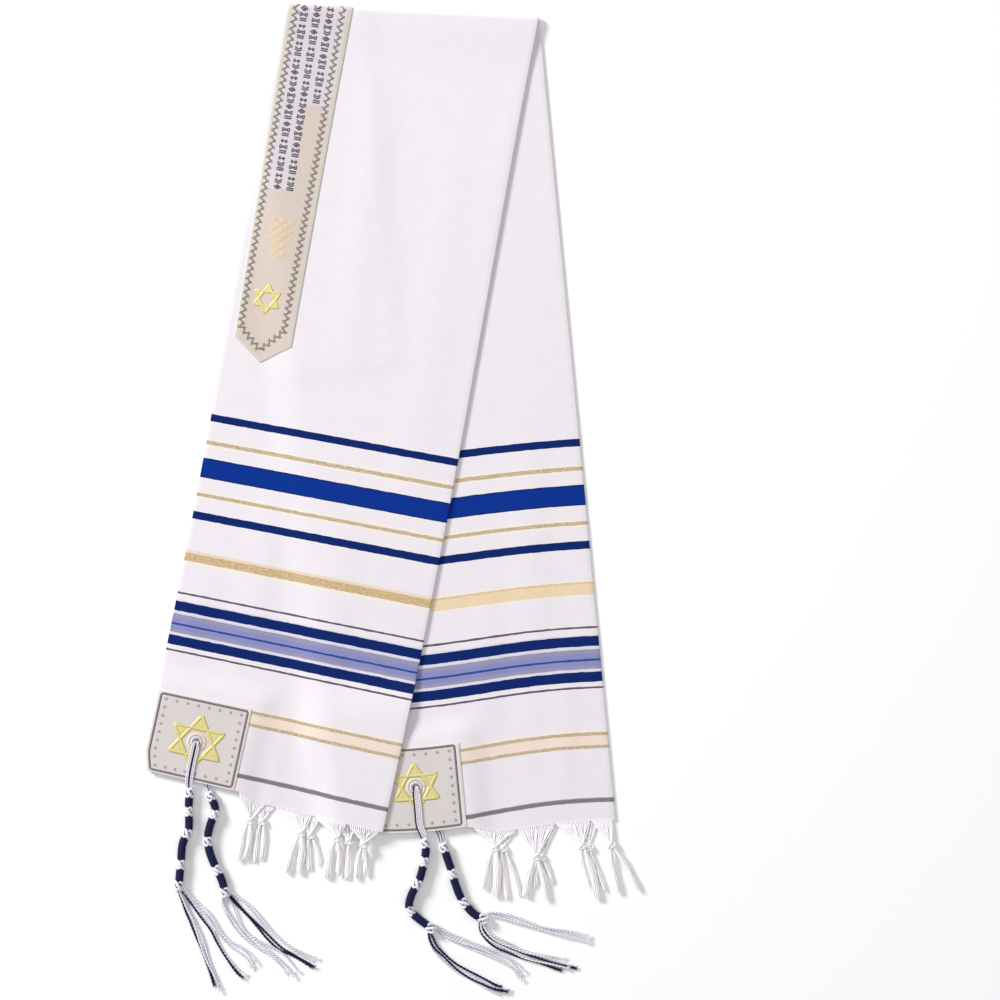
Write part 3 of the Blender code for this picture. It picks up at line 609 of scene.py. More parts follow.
set_inputs(tree, shader, {"Base Color": toned.outputs[2], "Metallic": metal, "Roughness": gloss,
                          "Normal": relief, "Specular IOR Level": 0.1, "Sheen Weight": 0.03,
                          "Sheen Roughness": 0.6})

shawl = add_object("woven_shawl", mesh_from("woven_shawl", shape), cotton)
add_thickness(shawl, CLOTH_WALL)
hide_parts("shawl_cloth")
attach(shawl, "root")


# ------------------------------------------------------------------------------------ neckband
# A jacquard band of ivory viscose satin with a pointed end on each leg. It is sewn flat along the
# open edge. Its border, rows of motifs, panels and stars are woven in, so they stand up slightly.

# Its edge beside the open edges, and where its sides end and run to the point.
ATARAH_EDGE = {"crease": 1.9, "point": 7.8}
ATARAH_SHOULDER = 375.0

# How high its middle and its rim lie on the cloth, over what width it rises, its drawn wall, and
# its columns' places across it.
BAND_LIFT = 0.68
BAND_RIM_LIFT = 0.42
BAND_RIM_EASE = 2.4
BAND_WALL = 0.7
BAND_COLUMNS = (0.0, 0.006, 0.03, 0.07, 0.2, 0.35, 0.5, 0.65, 0.8, 0.93, 0.97, 0.994, 1.0)
BAND_ROWS = 74


def band_place(part, along):
    """Across of a place on the neckband, part of the way from its open edge to its far one."""
    lean = (ATARAH_EDGE["point"] - ATARAH_EDGE["crease"]) * abs(along) / ATARAH_SHOULDER
    left = ATARAH_EDGE["crease"] + lean
    return left + (ATARAH_FAR_EDGE - left) * part


def band_end(part):
    """How far the neckband reaches at a part of its width: its end comes to a point."""
    return ATARAH_REACH - (ATARAH_REACH - ATARAH_SHOULDER) * abs(2 * part - 1)


def lay_band(column, row):
    """A place of the neckband, from one point over the crease to the other. Its rim lies lower."""
    part = BAND_COLUMNS[column]
    crease = -band_place(part, 0.0) * tan(SLANT)
    if row < BAND_ROWS:
        near = crease + crease_rows[0] / cos(SLANT)
        along = band_end(part) + (near - band_end(part)) * row_part(row, BAND_ROWS, ATARAH_REACH)
    elif row < BAND_ROWS + len(crease_rows):
        along = crease + crease_rows[row - BAND_ROWS] / cos(SLANT)
    else:
        near = crease + crease_rows[-1] / cos(SLANT)
        left = 2 * BAND_ROWS + len(crease_rows) - 1 - row
        along = -band_end(part) + (near + band_end(part)) * row_part(left, BAND_ROWS, ATARAH_REACH)
    across = band_place(part, along)
    from_rim = min(across - band_place(0.0, along), band_place(1.0, along) - across,
                   band_end(part) - abs(along))
    out = BAND_RIM_LIFT + (BAND_LIFT - BAND_RIM_LIFT) * smooth(from_rim / BAND_RIM_EASE)
    return shawl_point(across, along, -out), (across * MM, along * MM)


# Viscose satin: long floats catch the light as fine lines, so it is smoother and a little glossier
# than the cotton. Painted shade lies between the floats and in soft streaks, over a bump.
# Real floats are 0.2 mm apart; they are drawn 1.2 mm apart, so that they show.
FLOAT_PITCH = 1.2
STREAK_CELL = (0.77, 6.25)


def set_stops(ramp, *stops):
    """Gives a colour ramp its two stops, each a place and a colour."""
    for stop, (position, colour) in zip(ramp.color_ramp.elements, stops):
        stop.position = position
        stop.color = linear(colour)


def satin(name, ground, shade_between_floats):
    """A satin of one colour, with its floats along the piece and painted shade between them."""
    made, tree, shader = new_material(name)
    weave = add_node(tree, "UVMap", uv_map="threads")
    floats = add_node(tree, "TexWave", {"Vector": weave,
                                        "Scale": WAVE_PERIOD / (FLOAT_PITCH * MM)},
                      bands_direction='X')
    drawn = add_node(tree, "Mapping", {"Vector": weave, "Scale": cells(*STREAK_CELL)})
    streak = add_node(tree, "TexNoise", {"Vector": drawn, "Scale": 1.0, "Detail": 3.0})
    mixed = add_node(tree, "Mix", {0: 0.6, 2: floats.outputs["Fac"], 3: streak})
    tone = add_node(tree, "ValToRGB", {0: mixed})
    set_stops(tone, (0.25, shade_between_floats), (0.75, ground))
    relief = add_node(tree, "Bump", {"Height": mixed, "Strength": 0.3, "Distance": 0.15 * MM})
    set_inputs(tree, shader, {"Base Color": tone, "Normal": relief, "Roughness": 0.78,
                              "Specular IOR Level": 0.18, "Sheen Weight": 0.1})
    return made


# Spun yarn and cord: matt, and mottled light and dark where the fibres turn, as painted shade in
# the hollows of a bump of the same pattern. Real fibres are too fine to show, so the mottling is
# drawn about 1 mm across.
FIBRE = 1.1


def yarn_finish(name, colour, painted_shade, roughness, metallic=0.0):
    """A yarn of one colour, with painted shade in its hollows."""
    made, tree, shader = new_material(name)
    place = add_node(tree, "TexCoord")
    fibres = add_node(tree, "TexNoise", {"Vector": place.outputs["Object"],
                                         "Scale": 1 / (FIBRE * MM), "Detail": 2.0,
                                         "Roughness": 0.6})
    tone = add_node(tree, "ValToRGB", {0: fibres})
    set_stops(tone, (0.35, painted_shade), (0.6, colour))
    relief = add_node(tree, "Bump", {"Height": fibres, "Strength": 0.5, "Distance": 0.2 * MM})
    set_inputs(tree, shader, {"Base Color": tone, "Normal": relief, "Roughness": roughness,
                              "Metallic": metallic, "Specular IOR Level": 0.3})
    return made


# The band's ground is lilac white behind the rows of motifs and beige beyond them. Its rim is an
# ivory selvedge, plainer and slightly yellower. Each row: where it lies across, and its end.
RIM = 6.0
ROWS_OF_MOTIFS = [(19.6, 205.0), (33.8, 206.0), (48.3, 105.0)]
SHORT_ROW_SIDE = 42.0
ROWS_GROUND, BEIGE_GROUND, SELVEDGE = range(3)
columns = len(BAND_COLUMNS) - 1
rows = 2 * BAND_ROWS + len(crease_rows) - 1
shape = laid_grid(columns, rows, lay_band)
for face in shape.faces:
    middle = face_middle(shape, face)
    across, reach = middle.x, abs(middle.y)
    beyond_rows = reach > ROWS_OF_MOTIFS[0][1]
    beyond_short_row = reach > ROWS_OF_MOTIFS[2][1] and across > SHORT_ROW_SIDE
    left = band_place(0.0, reach)
    to_point = band_end((across - left) / (ATARAH_FAR_EDGE - left)) - reach
    if min(across - left, ATARAH_FAR_EDGE - across, to_point) < RIM:
        face.material_index = SELVEDGE
    elif beyond_rows or beyond_short_row:
        face.material_index = BEIGE_GROUND
    else:
        face.material_index = ROWS_GROUND
# Each satin's second colour is the painted shade between its floats.
band = add_object("neckband", mesh_from("neckband", shape),
                  satin("lilac_white_satin", "#dcd4da", "#cdc3c8"),
                  satin("beige_satin", "#d7c9c1", "#c9bab0"),
                  satin("ivory_selvedge", "#d6d2c6", "#c8c3b5"))
add_thickness(band, BAND_WALL)
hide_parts("atarah")


# Vertices as close as this are joined.
WELD = 0.001


def add_stitches(shape, line, width, place, finish, height=0.25):
    """A line of satin stitch along places, widths in millimetres: raised along its middle."""
    last = len(line) - 1
    closed = line[0] == line[-1]
    strip = bmesh.ops.create_grid(shape, x_segments=2, y_segments=last, size=1.0)["verts"]
    for vert in strip:
        side = round(vert.co.x)
        index = round((vert.co.y + 1) / 2 * last)
        before = line[-2] if closed and index == 0 else line[max(index - 1, 0)]
        after = line[1] if closed and index == last else line[min(index + 1, last)]
        ahead = (Vector(after) - Vector(before)).normalized()
        spot = Vector(line[index]) + Vector((-ahead.y, ahead.x)) * side * width / 2
        vert.co = to_metres(place(*spot, 0.0 if side else height))
    for face in {face for vert in strip for face in vert.link_faces}:
        face.material_index = finish
        face.smooth = True
    if closed:
        bmesh.ops.remove_doubles(shape, verts=strip, dist=WELD * MM)


def add_filling(shape, outline, place, finish, height=0.2):
    """A small filled motif: its outline on the cloth, its middle raised."""
    count = len(outline)
    middle = sum((Vector(spot) for spot in outline), Vector((0, 0))) / count
    fan = bmesh.ops.create_circle(shape, cap_ends=True, cap_tris=True, segments=count,
                                  radius=1.0)["verts"]
    for face in {face for vert in fan for face in vert.link_faces}:
        face.material_index = finish
    for vert in fan:
        if vert.co.length < 0.5:
            vert.co = to_metres(place(*middle, height))
        else:
            index = round(atan2(vert.co.x, vert.co.y) / (2 * pi) * count) % count
            vert.co = to_metres(place(*outline[index], 0.0))


def subdivided(spots, step=2.5):
    """A line through spots with places at most a step apart."""
    line = [spots[0]]
    for start, end in zip(spots, spots[1:]):
        count = max(1, round((Vector(end) - Vector(start)).length / step))
        for index in range(1, count + 1):
            part = index / count
            line.append((start[0] + (end[0] - start[0]) * part,
                         start[1] + (end[1] - start[1]) * part))
    return line


# A running stitch of sewing thread: its width, and how far it stands up.
SEAM_WIDTH = 0.5
SEAM_RISE = 0.1
SEAM_STITCH = 1.6


def add_seam(shape, route, place, finish):
    """Running stitches along a route: the thread shows on every other stitch's length."""
    line = subdivided(route, SEAM_STITCH)
    for stitch in zip(line[::2], line[1::2]):
        add_stitches(shape, stitch, SEAM_WIDTH, place, finish, SEAM_RISE)


def hexagon(centre, radius, stretch, turn):
    """Six places round a centre, wider across by stretch; turn is in sixths of a circle."""
    return [(centre[0] + radius * stretch * sin((index + turn) * pi / 3),
             centre[1] + radius * cos((index + turn) * pi / 3)) for index in range(6)]


def add_star(shape, centre, radius, width, place, stretch=1.0):
    """A woven star: two triangles in gilt satin stitch, its six points filled paler."""
    points = hexagon(centre, radius, stretch, 0.0)
    corners = hexagon(centre, radius / sqrt(3), stretch, 0.5)
    for index in range(6):
        add_filling(shape, [points[index], corners[index], corners[index - 1]], place, STAR_FILL)
    for start in (0, 1):
        triangle = [points[start], points[start + 2], points[(start + 4) % 6], points[start]]
        add_stitches(shape, subdivided(triangle), width, place, STAR_LINE)


def on_band(sign):
    """Places on one leg's half of the neckband, in millimetres across and from the crease."""
    def place(across, reach, rise):
        x, y, height = shawl_point(across, sign * reach, -BAND_FACE - rise)
        return x, y, max(height, TABLE_CLEAR)
    return place


def lozenge(across, along, wide, high):
    """A lozenge's four corners, wide and high to each side of its middle."""
    return [(across - wide, along), (across, along - high), (across + wide, along),
            (across, along + high)]


def leaf(stalk, way, length, width):
    """A leaf's outline, from where it leaves the vine: broad at first and pointed at its end."""
    aside = Vector((-way.y, way.x)) * width / 2
    broad = stalk + way * length * LEAF_BROAD_AT
    slim = stalk + way * length * LEAF_SLIM_AT
    slimmer = aside * LEAF_SLIM
    return [stalk, broad + aside, slim + slimmer, stalk + way * length, slim - slimmer,
            broad - aside]


# The woven motifs: each finish's place in their piece's materials, how thick they are, how far
# they stand clear of the satin, and of the table where the band lies face down.
TAUPE, INK, STAR_LINE, STAR_FILL, PEACH_GILT, SEWING_THREAD = range(6)
STITCH_WALL = 0.06
STITCH_CLEAR = 0.05
TABLE_CLEAR = 0.02
BAND_FACE = BAND_LIFT + BAND_WALL / 2 + STITCH_CLEAR

# The border is a zigzag vine. Each of its turns has a large leaf and a small one: how far the
# leaf leans along the vine, its length and its width.
BORDER_START = 1.0
BORDER_AT_CREASE = {"left": 10.2, "right": 61.8}
BORDER_SIDES = {"left": [(11.9, 300.0), (12.4, 362.0)], "right": [(63.2, 160.0), (61.0, 360.0)]}
BORDER_TIP = (38.0, 385.0)
VINE_PERIOD = 7.6
VINE_SWING = 1.9
VINE_STEP = 1.6
VINE_WIDTH = 2.0
LEAVES = [(0.75, 3.3, 2.3), (-1.1, 2.6, 1.8)]
LEAF_TUCK = 0.4
LEAF_BROAD_AT = 0.3
LEAF_SLIM_AT = 0.65
LEAF_SLIM = 0.8

# Small motifs of a few strokes each, as (sideways, along) of their middle: lozenge, two bars,
# chevrons, hourglass and crossed bars. Their rows lean as the band's edge does.
ROWS_START = 1.5
ROW_LEAN = 0.029
MOTIF_LENGTH = 6.4
MOTIF_STROKE = 1.6
MOTIF_STEP = 2.0
MOTIFS = [
    [[(-3.9, 0.0), (0.0, -2.1), (3.9, 0.0), (0.0, 2.1), (-3.9, 0.0)], [(-1.4, 0.0), (1.4, 0.0)]],
    [[(-3.9, -2.0), (3.9, -2.0)], [(-3.9, 0.2), (3.9, 0.2)]],
    [[(-3.9, -2.3), (0.0, -0.1), (3.9, -2.3)], [(-3.9, 0.1), (0.0, 2.3), (3.9, 0.1)]],
    [[(-3.9, -1.9), (-3.9, 1.9), (3.9, -1.9), (3.9, 1.9), (-3.9, -1.9)]],
    [[(-3.9, 0.0), (3.9, 0.0)], [(-2.2, -2.0), (-2.2, 2.0)], [(2.2, -2.0), (2.2, 2.0)]],
]

# The panel of lozenges: its rows' reach to each side, in lozenges' steps, where it starts, and
# each lozenge's half width and half height. Then the star.
PANEL_ROWS = (2, 2, 2, 2, 2, 1, 1, 1, 1)
PANEL_MIDDLE = 38.3
PANEL_START = 238.0
LOZENGE_STEP = (5.2, 5.1)
LOZENGE = (4.6, 4.7)
BAND_STAR_PLACE = (36.0, 327.0)
BAND_STAR_RADIUS = 16.0
BAND_STAR_WIDTH = 3.4

# The seam runs beside both long edges, at these parts of the width, and round the point.
SEAM_PARTS = (0.045, 0.5, 0.955)
SEAM_START = 3.0
SEAM_INSET = 3.6

shape = bmesh.new()
for sign in (1, -1):
    place = on_band(sign)
    at_crease = {side: [(across, BORDER_START - sign * across * tan(SLANT))]
                 for side, across in BORDER_AT_CREASE.items()}
    border = (at_crease["left"] + BORDER_SIDES["left"] + [BORDER_TIP]
              + BORDER_SIDES["right"][::-1] + at_crease["right"])
    line = subdivided(border, VINE_PERIOD / 2)
    vine = []
    for index, spot in enumerate(line):
        ahead = (Vector(line[min(index + 1, len(line) - 1)])
                 - Vector(line[max(index - 1, 0)])).normalized()
        outward = Vector((-ahead.y, ahead.x)) * (1 if index % 2 else -1)
        turn = Vector(spot) + outward * VINE_SWING
        vine.append(tuple(turn))
        for lean, length, width in LEAVES:
            way = (outward + ahead * lean).normalized()
            add_filling(shape, leaf(turn - way * LEAF_TUCK, way, length, width), place, TAUPE)
    add_stitches(shape, subdivided(vine, VINE_STEP), VINE_WIDTH, place, TAUPE)
    # The rows of small motifs. They take turns so that no row repeats its neighbour.
    for row, (across, end) in enumerate(ROWS_OF_MOTIFS):
        start = ROWS_START - sign * across * tan(SLANT)
        count = round((end - start) / MOTIF_LENGTH)
        for index in range(count):
            here = start + (end - start) * (index + 0.5) / count
            middle = across + ROW_LEAN * here
            for stroke in MOTIFS[(index * 3 + row * 2 + index // 4) % len(MOTIFS)]:
                spots = [(middle + sideways, here + along) for sideways, along in stroke]
                add_stitches(shape, subdivided(spots, MOTIF_STEP), MOTIF_STROKE, place, INK)
    # The panel, every other place of it filled, and the star.
    for step, half_count in enumerate(PANEL_ROWS):
        for side in range(-half_count, half_count + 1):
            if (side + step) % 2 == 0:
                across = PANEL_MIDDLE + side * LOZENGE_STEP[0]
                reach = PANEL_START + LOZENGE_STEP[1] * step
                add_filling(shape, lozenge(across, reach, *LOZENGE), place, PEACH_GILT)
    add_star(shape, BAND_STAR_PLACE, BAND_STAR_RADIUS, BAND_STAR_WIDTH, place)
    # The seam that holds the band down.
    turns = [(part, band_end(part) - SEAM_INSET) for part in SEAM_PARTS]
    turns = [(SEAM_PARTS[0], SEAM_START)] + turns + [(SEAM_PARTS[-1], SEAM_START)]
    add_seam(shape, [(band_place(part, reach), reach) for part, reach in turns], place,
             SEWING_THREAD)

# Matt embroidery yarns, taupe and ink grey. The gilt ones are wound with fine foil and glint
# faintly, and the peach one is the dullest of them. The sewing thread is ivory. Each yarn's
# second colour is the painted shade in its hollows.
taupe_yarn = yarn_finish("taupe_yarn", "#948d85", "#79726b", 0.8)
ink_yarn = yarn_finish("ink_grey_yarn", "#676271", "#545060", 0.8)
gilt_yarn = yarn_finish("gilt_yarn", "#e2d692", "#d0c178", 0.5, 0.15)
pale_gilt_yarn = yarn_finish("pale_gilt_yarn", "#e0d59c", "#d0c380", 0.55, 0.1)
peach_yarn = yarn_finish("peach_gilt_yarn", "#dec9ae", "#d2b997", 0.65)
ivory_thread = yarn_finish("ivory_thread", "#e8e0d8", "#d0c6bc", 0.7)
woven = add_object("neckband_motifs", mesh_from("neckband_motifs", shape), taupe_yarn, ink_yarn,
                   gilt_yarn, pale_gilt_yarn, peach_yarn, ivory_thread)
add_thickness(woven, STITCH_WALL)
for piece in (band, woven):
    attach(piece, "root")


# ------------------------------------------------------------------------------ corner squares
# A satin square sewn over each corner of the cloth, with a woven border, dots and star. Its round
# eyelet is overcast with thread; the tassel's strings go through it.

PATCH_LIFT = 0.68
PATCH_RIM_LIFT = 0.42
PATCH_WALL = 0.7
PATCH_RINGS = 12
RING_CROWDING = 1.3
PATCH_SIDE = 12
PATCH_EDGES = (0.55, 0.93, 1.0)
PATCH_OVERLAP = 1.2
PATCH_GROUND, PATCH_MARGIN = range(2)
# Margins outside the woven border: at the open edge, farther in, at the fringed end and above.
MARGINS = {"front": (3.8, 3.5, 3.0, 3.5), "back": (9.2, 5.4, 3.5, 2.0)}

# The motifs' finishes, in their piece's order. The star's two are the neckband's.
GREY, DOVE, STAR_LINE, STAR_FILL, OVERCAST_THREAD, PEACH_THREAD = range(6)
BORDER_WIDTH = 2.5
BORDER_ROUNDING = 2.5
BORDER_STEP = 3.0
DOT = 1.9
DOT_RISE = 0.35
DOT_SIDES = 8
DOT_INSET = (6.4, 5.6)
DOT_PITCH = {"across": 13.0, "along": 9.9}
STAR = {"front": (30.6, 1.07), "back": (26.4, 1.07)}
STAR_WIDTH = 4.4
HALO_RADIUS = 9.4
HALO_WIDTH = 3.6
HALO_RISE = 0.15
HALO_SIDES = 32
OVERCASTS = 40
OVERCAST_REACH = (4.2, 5.6, 7.4)
OVERCAST_WIDTH = 0.95
OVERCAST_RISE = 0.5
PATCH_SEAM_INSET = 1.6
PATCH_SEAM_ROUNDING = 1.0


def face_depth(on_band_face, out):
    """The depth of a place that stands out from one face of the folded cloth."""
    return -out if on_band_face else STACK + out


def on_patch(name, out):
    """Places on a corner square, in millimetres from its own eyelet: sideways, and up the leg."""
    leg, on_band_face = CORNERS[name]
    eyelet_across, eyelet_along = eyelet_place(name)

    def place(sideways, upward, rise):
        along = eyelet_along - LEG_SIGN[leg] * upward
        return shawl_point(eyelet_across + sideways, along, face_depth(on_band_face, out + rise))
    return place


def square_outline(left, right, low, high, count):
    """Places round an oblong, the same number of them on each side."""
    corners = [Vector(spot) for spot in ((left, low), (right, low), (right, high), (left, high))]
    return [start.lerp(end, index / count)
            for start, end in zip(corners, corners[1:] + corners[:1]) for index in range(count)]


def rounded(left, right, low, high, radius, count=5):
    """An oblong with rounded corners, as a closed line."""
    line = []
    for x, y, turn in ((right - radius, high - radius, 0), (left + radius, high - radius, 1),
                       (left + radius, low + radius, 2), (right - radius, low + radius, 3)):
        for index in range(count + 1):
            angle = (turn + index / count) * pi / 2
            line.append((x + radius * cos(angle), y + radius * sin(angle)))
    return line + line[:1]


def circle_line(x, y, radius, sides):
    """Places round a circle, all the way back to the first."""
    turns = [2 * pi * index / sides for index in range(sides + 1)]
    return [(x + radius * cos(turn), y + radius * sin(turn)) for turn in turns]


# Satin of a warmer, dustier white than the cloth, in a paler margin. The border's yarn is grey,
# the dots' a softer dove grey; both are matt. The threads round the eyelet are a little smoother.
# Each second colour is painted shade: between a satin's floats, in a yarn's hollows.
corner_satin = satin("corner_satin", "#dad3d1", "#cdc5c2")
corner_selvedge = satin("corner_selvedge", "#ece6e7", "#dfd8d8")
grey_yarn = yarn_finish("grey_yarn", "#867d80", "#6c6467", 0.8)
dove_yarn = yarn_finish("dove_yarn", "#b3aaa8", "#9c9391", 0.8)
overcast_thread = yarn_finish("lilac_white_thread", "#ece6ee", "#d3ccd8", 0.75)
peach_thread = yarn_finish("peach_thread", "#ead9c6", "#ddc9b2", 0.7)

for name, (leg, on_band_face) in CORNERS.items():
    left = PATCH_INSET[leg] - PATCH_OVERLAP - eyelet_place(name)[0]
    right = left + PATCH_WIDTH + PATCH_OVERLAP
    low, high = -EYELET_HEIGHT[leg], PATCH_HEIGHT - EYELET_HEIGHT[leg]
    margins = MARGINS[leg]
    inner = [left + margins[0], right - margins[1], low + margins[2], high - margins[3]]
    outline = square_outline(left, right, low, high, PATCH_SIDE)
    border = square_outline(*inner, PATCH_SIDE)
    face_place = on_patch(name, 0.0)

    def lay_square(column, row):
        """A place of the square: rings run from the eyelet to the border, then to the edge."""
        spot, edge = border[column % len(border)], outline[column % len(border)]
        lift = PATCH_RIM_LIFT if row > PATCH_RINGS + 1 else PATCH_LIFT
        if row <= PATCH_RINGS:
            circle = spot.normalized() * EYELET_RADIUS
            here = circle.lerp(spot, (row / PATCH_RINGS) ** RING_CROWDING)
        else:
            here = spot.lerp(edge, PATCH_EDGES[row - PATCH_RINGS - 1])
        return face_place(here.x, here.y, lift), here * MM

    shape = laid_grid(len(border), PATCH_RINGS + len(PATCH_EDGES), lay_square)
    bmesh.ops.remove_doubles(shape, verts=shape.verts, dist=WELD * MM)
    bmesh.ops.recalc_face_normals(shape, faces=shape.faces)
    for face in shape.faces:
        middle = face_middle(shape, face)
        inside = inner[0] < middle.x < inner[1] and inner[2] < middle.y < inner[3]
        face.material_index = PATCH_GROUND if inside else PATCH_MARGIN
    patch = add_object("corner_square_" + name, mesh_from("corner_square", shape), corner_satin,
                       corner_selvedge)
    add_thickness(patch, PATCH_WALL)
    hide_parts("patch_" + name)

    place = on_patch(name, PATCH_LIFT + PATCH_WALL / 2 + STITCH_CLEAR)
    shape = bmesh.new()
    add_stitches(shape, subdivided(rounded(*inner, BORDER_ROUNDING), BORDER_STEP), BORDER_WIDTH,
                 place, GREY)
    # Dots a little way inside the border, evenly along each side.
    dots = [inner[0] + DOT_INSET[0], inner[1] - DOT_INSET[0],
            inner[2] + DOT_INSET[1], inner[3] - DOT_INSET[1]]
    across_count = round((dots[1] - dots[0]) / DOT_PITCH["across"])
    along_count = round((dots[3] - dots[2]) / DOT_PITCH["along"])
    spots = []
    for index in range(across_count + 1):
        x = dots[0] + (dots[1] - dots[0]) * index / across_count
        spots += [(x, dots[2]), (x, dots[3])]
    for index in range(1, along_count):
        y = dots[2] + (dots[3] - dots[2]) * index / along_count
        spots += [(dots[0], y), (dots[1], y)]
    for x, y in spots:
        add_filling(shape, circle_line(x, y, DOT, DOT_SIDES)[:-1], place, DOVE, DOT_RISE)
    radius, stretch = STAR[leg]
    add_star(shape, (0.0, 0.0), radius, STAR_WIDTH, place, stretch)
    # The eyelet: a peach ring, then thread overcast from it into the hole.
    halo = circle_line(0.0, 0.0, HALO_RADIUS, HALO_SIDES)
    add_stitches(shape, halo, HALO_WIDTH, place, PEACH_THREAD, HALO_RISE)
    for index in range(OVERCASTS):
        angle = 2 * pi * index / OVERCASTS
        stitch = [(reach * cos(angle), reach * sin(angle)) for reach in OVERCAST_REACH]
        add_stitches(shape, stitch, OVERCAST_WIDTH, place, OVERCAST_THREAD, OVERCAST_RISE)
    # Small running stitches round the margin hold the square to the cloth.
    inset = PATCH_SEAM_INSET
    route = rounded(left + inset, right - inset, low + inset, high - inset, PATCH_SEAM_ROUNDING)
    add_seam(shape, route, place, OVERCAST_THREAD)
    motifs = add_object("corner_motifs_" + name, mesh_from("corner_motifs", shape), grey_yarn,
                        dove_yarn, gilt_yarn, pale_gilt_yarn, overcast_thread, peach_thread)
    add_thickness(motifs, STITCH_WALL)
    for piece in (patch, motifs):
        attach(piece, "root")


# ------------------------------------------------------------------------------------- tassels
# Knotted tassels of twisted cotton cord, three white strings to one navy. The strings double
# through the eyelet and round the cloth's end, then the navy one winds them between white knots.

# The wound shaft: how high its middle lies, its core, and the navy cord coiled round it.
WOUND_HEIGHT = 4.9
SHAFT_STEP = 0.5
CORE_EVERY = 6
CORE_RADIUS = 3.1
INNER_CORE_RADIUS = 2.3
COIL_RADIUS = 3.8
COIL_CORD = 0.92
COIL_PITCH = 1.68
COIL_STEPS = 12
COIL_TUCK = 1.2

# The knots: a thick white cord tied over a thinner navy one.
KNOT_LENGTH = 10.0
KNOT_STEPS = 27
KNOT_SWELL = 0.28
WHITE_KNOT = {"radius": 3.3, "cord": 1.85, "length": 9.0, "flat": 0.95, "wraps": 3, "bights": 4}
NAVY_KNOT = {"radius": 2.75, "cord": 0.9, "length": 6.6, "flat": 1.0}

# The strings, from the eyelet to past the cloth's end and on to the first knot. They come out of
# the eyelet in a bunch, lie side by side, and are drawn in again. w is white and n navy. Those
# that are under the shawl, or between its layers, lie flatter.
STRING_YARNS = {"front": "wwnww", "back": "wwwwn"}
STRING_RADIUS = 0.95
STRING_LIFT = SEAM + PATCH + 0.15
STRING_GAP = 1.8
INNER_YARNS = "wnw"
FLAT_RADIUS = 0.5
INNER_LIFT = 0.2
INNER_GAP = 1.3
STRING_PLACES = (0.0, 0.2, 0.5, 0.8, 1.0)
STRING_CLEAR = 2.0
STRING_LEAN = 0.6
STRING_DROP = 0.6
STRING_RISE = 0.5
STRING_STEP = 0.8
STRING_PLY = 0.55
STRING_SPREAD = 0.85
STRING_TWIST = 6.0
STRING_TURN = 1.3
BUNCHED = 0.35
BUNCH_RISE = 0.5
SPREAD_BY = 0.16
DRAWN_FROM = 0.75
DRAWN_IN = 0.45

# The free strands: they leave the last knot crowded, come loose, splay and sway, and lie over and
# under each other by turns. The navy ones' tips swell as their plies open; the white ones' thin.
STRAND_HEIGHT = 1.6
STRAND_PLY = 0.72
STRAND_TWIST = 8.0
STRAND_TURN = 0.9
STRAND_STEP = 0.95
STRAND_CROWDED = 0.75
STRAND_GAP = 2.0
STRAND_SPLAY = 0.9
LOOSE_BY = 0.14
STRAND_SWAY = 0.9
SWAY_WAVES = 9.0
SWAY_SHIFT = 2.1
SWAY_BY = 0.35
STRAND_RISE = 0.3
RISE_WAVES = 14.0
STRAND_OVER = 1.5
OUTER_SHORTER = 0.045
NEXT_SHORTER = 0.02
TIP_FROM = 0.82
TIP_CHANGE = {"w": -0.3, "n": 0.35}
FRAYED = {"count": 7, "back": 2.0, "shortest": 5.5, "longer": 2.0, "spread": 0.78, "rise": 0.25,
          "radius": 0.36, "thinner": 0.3, "bend": 1.2}

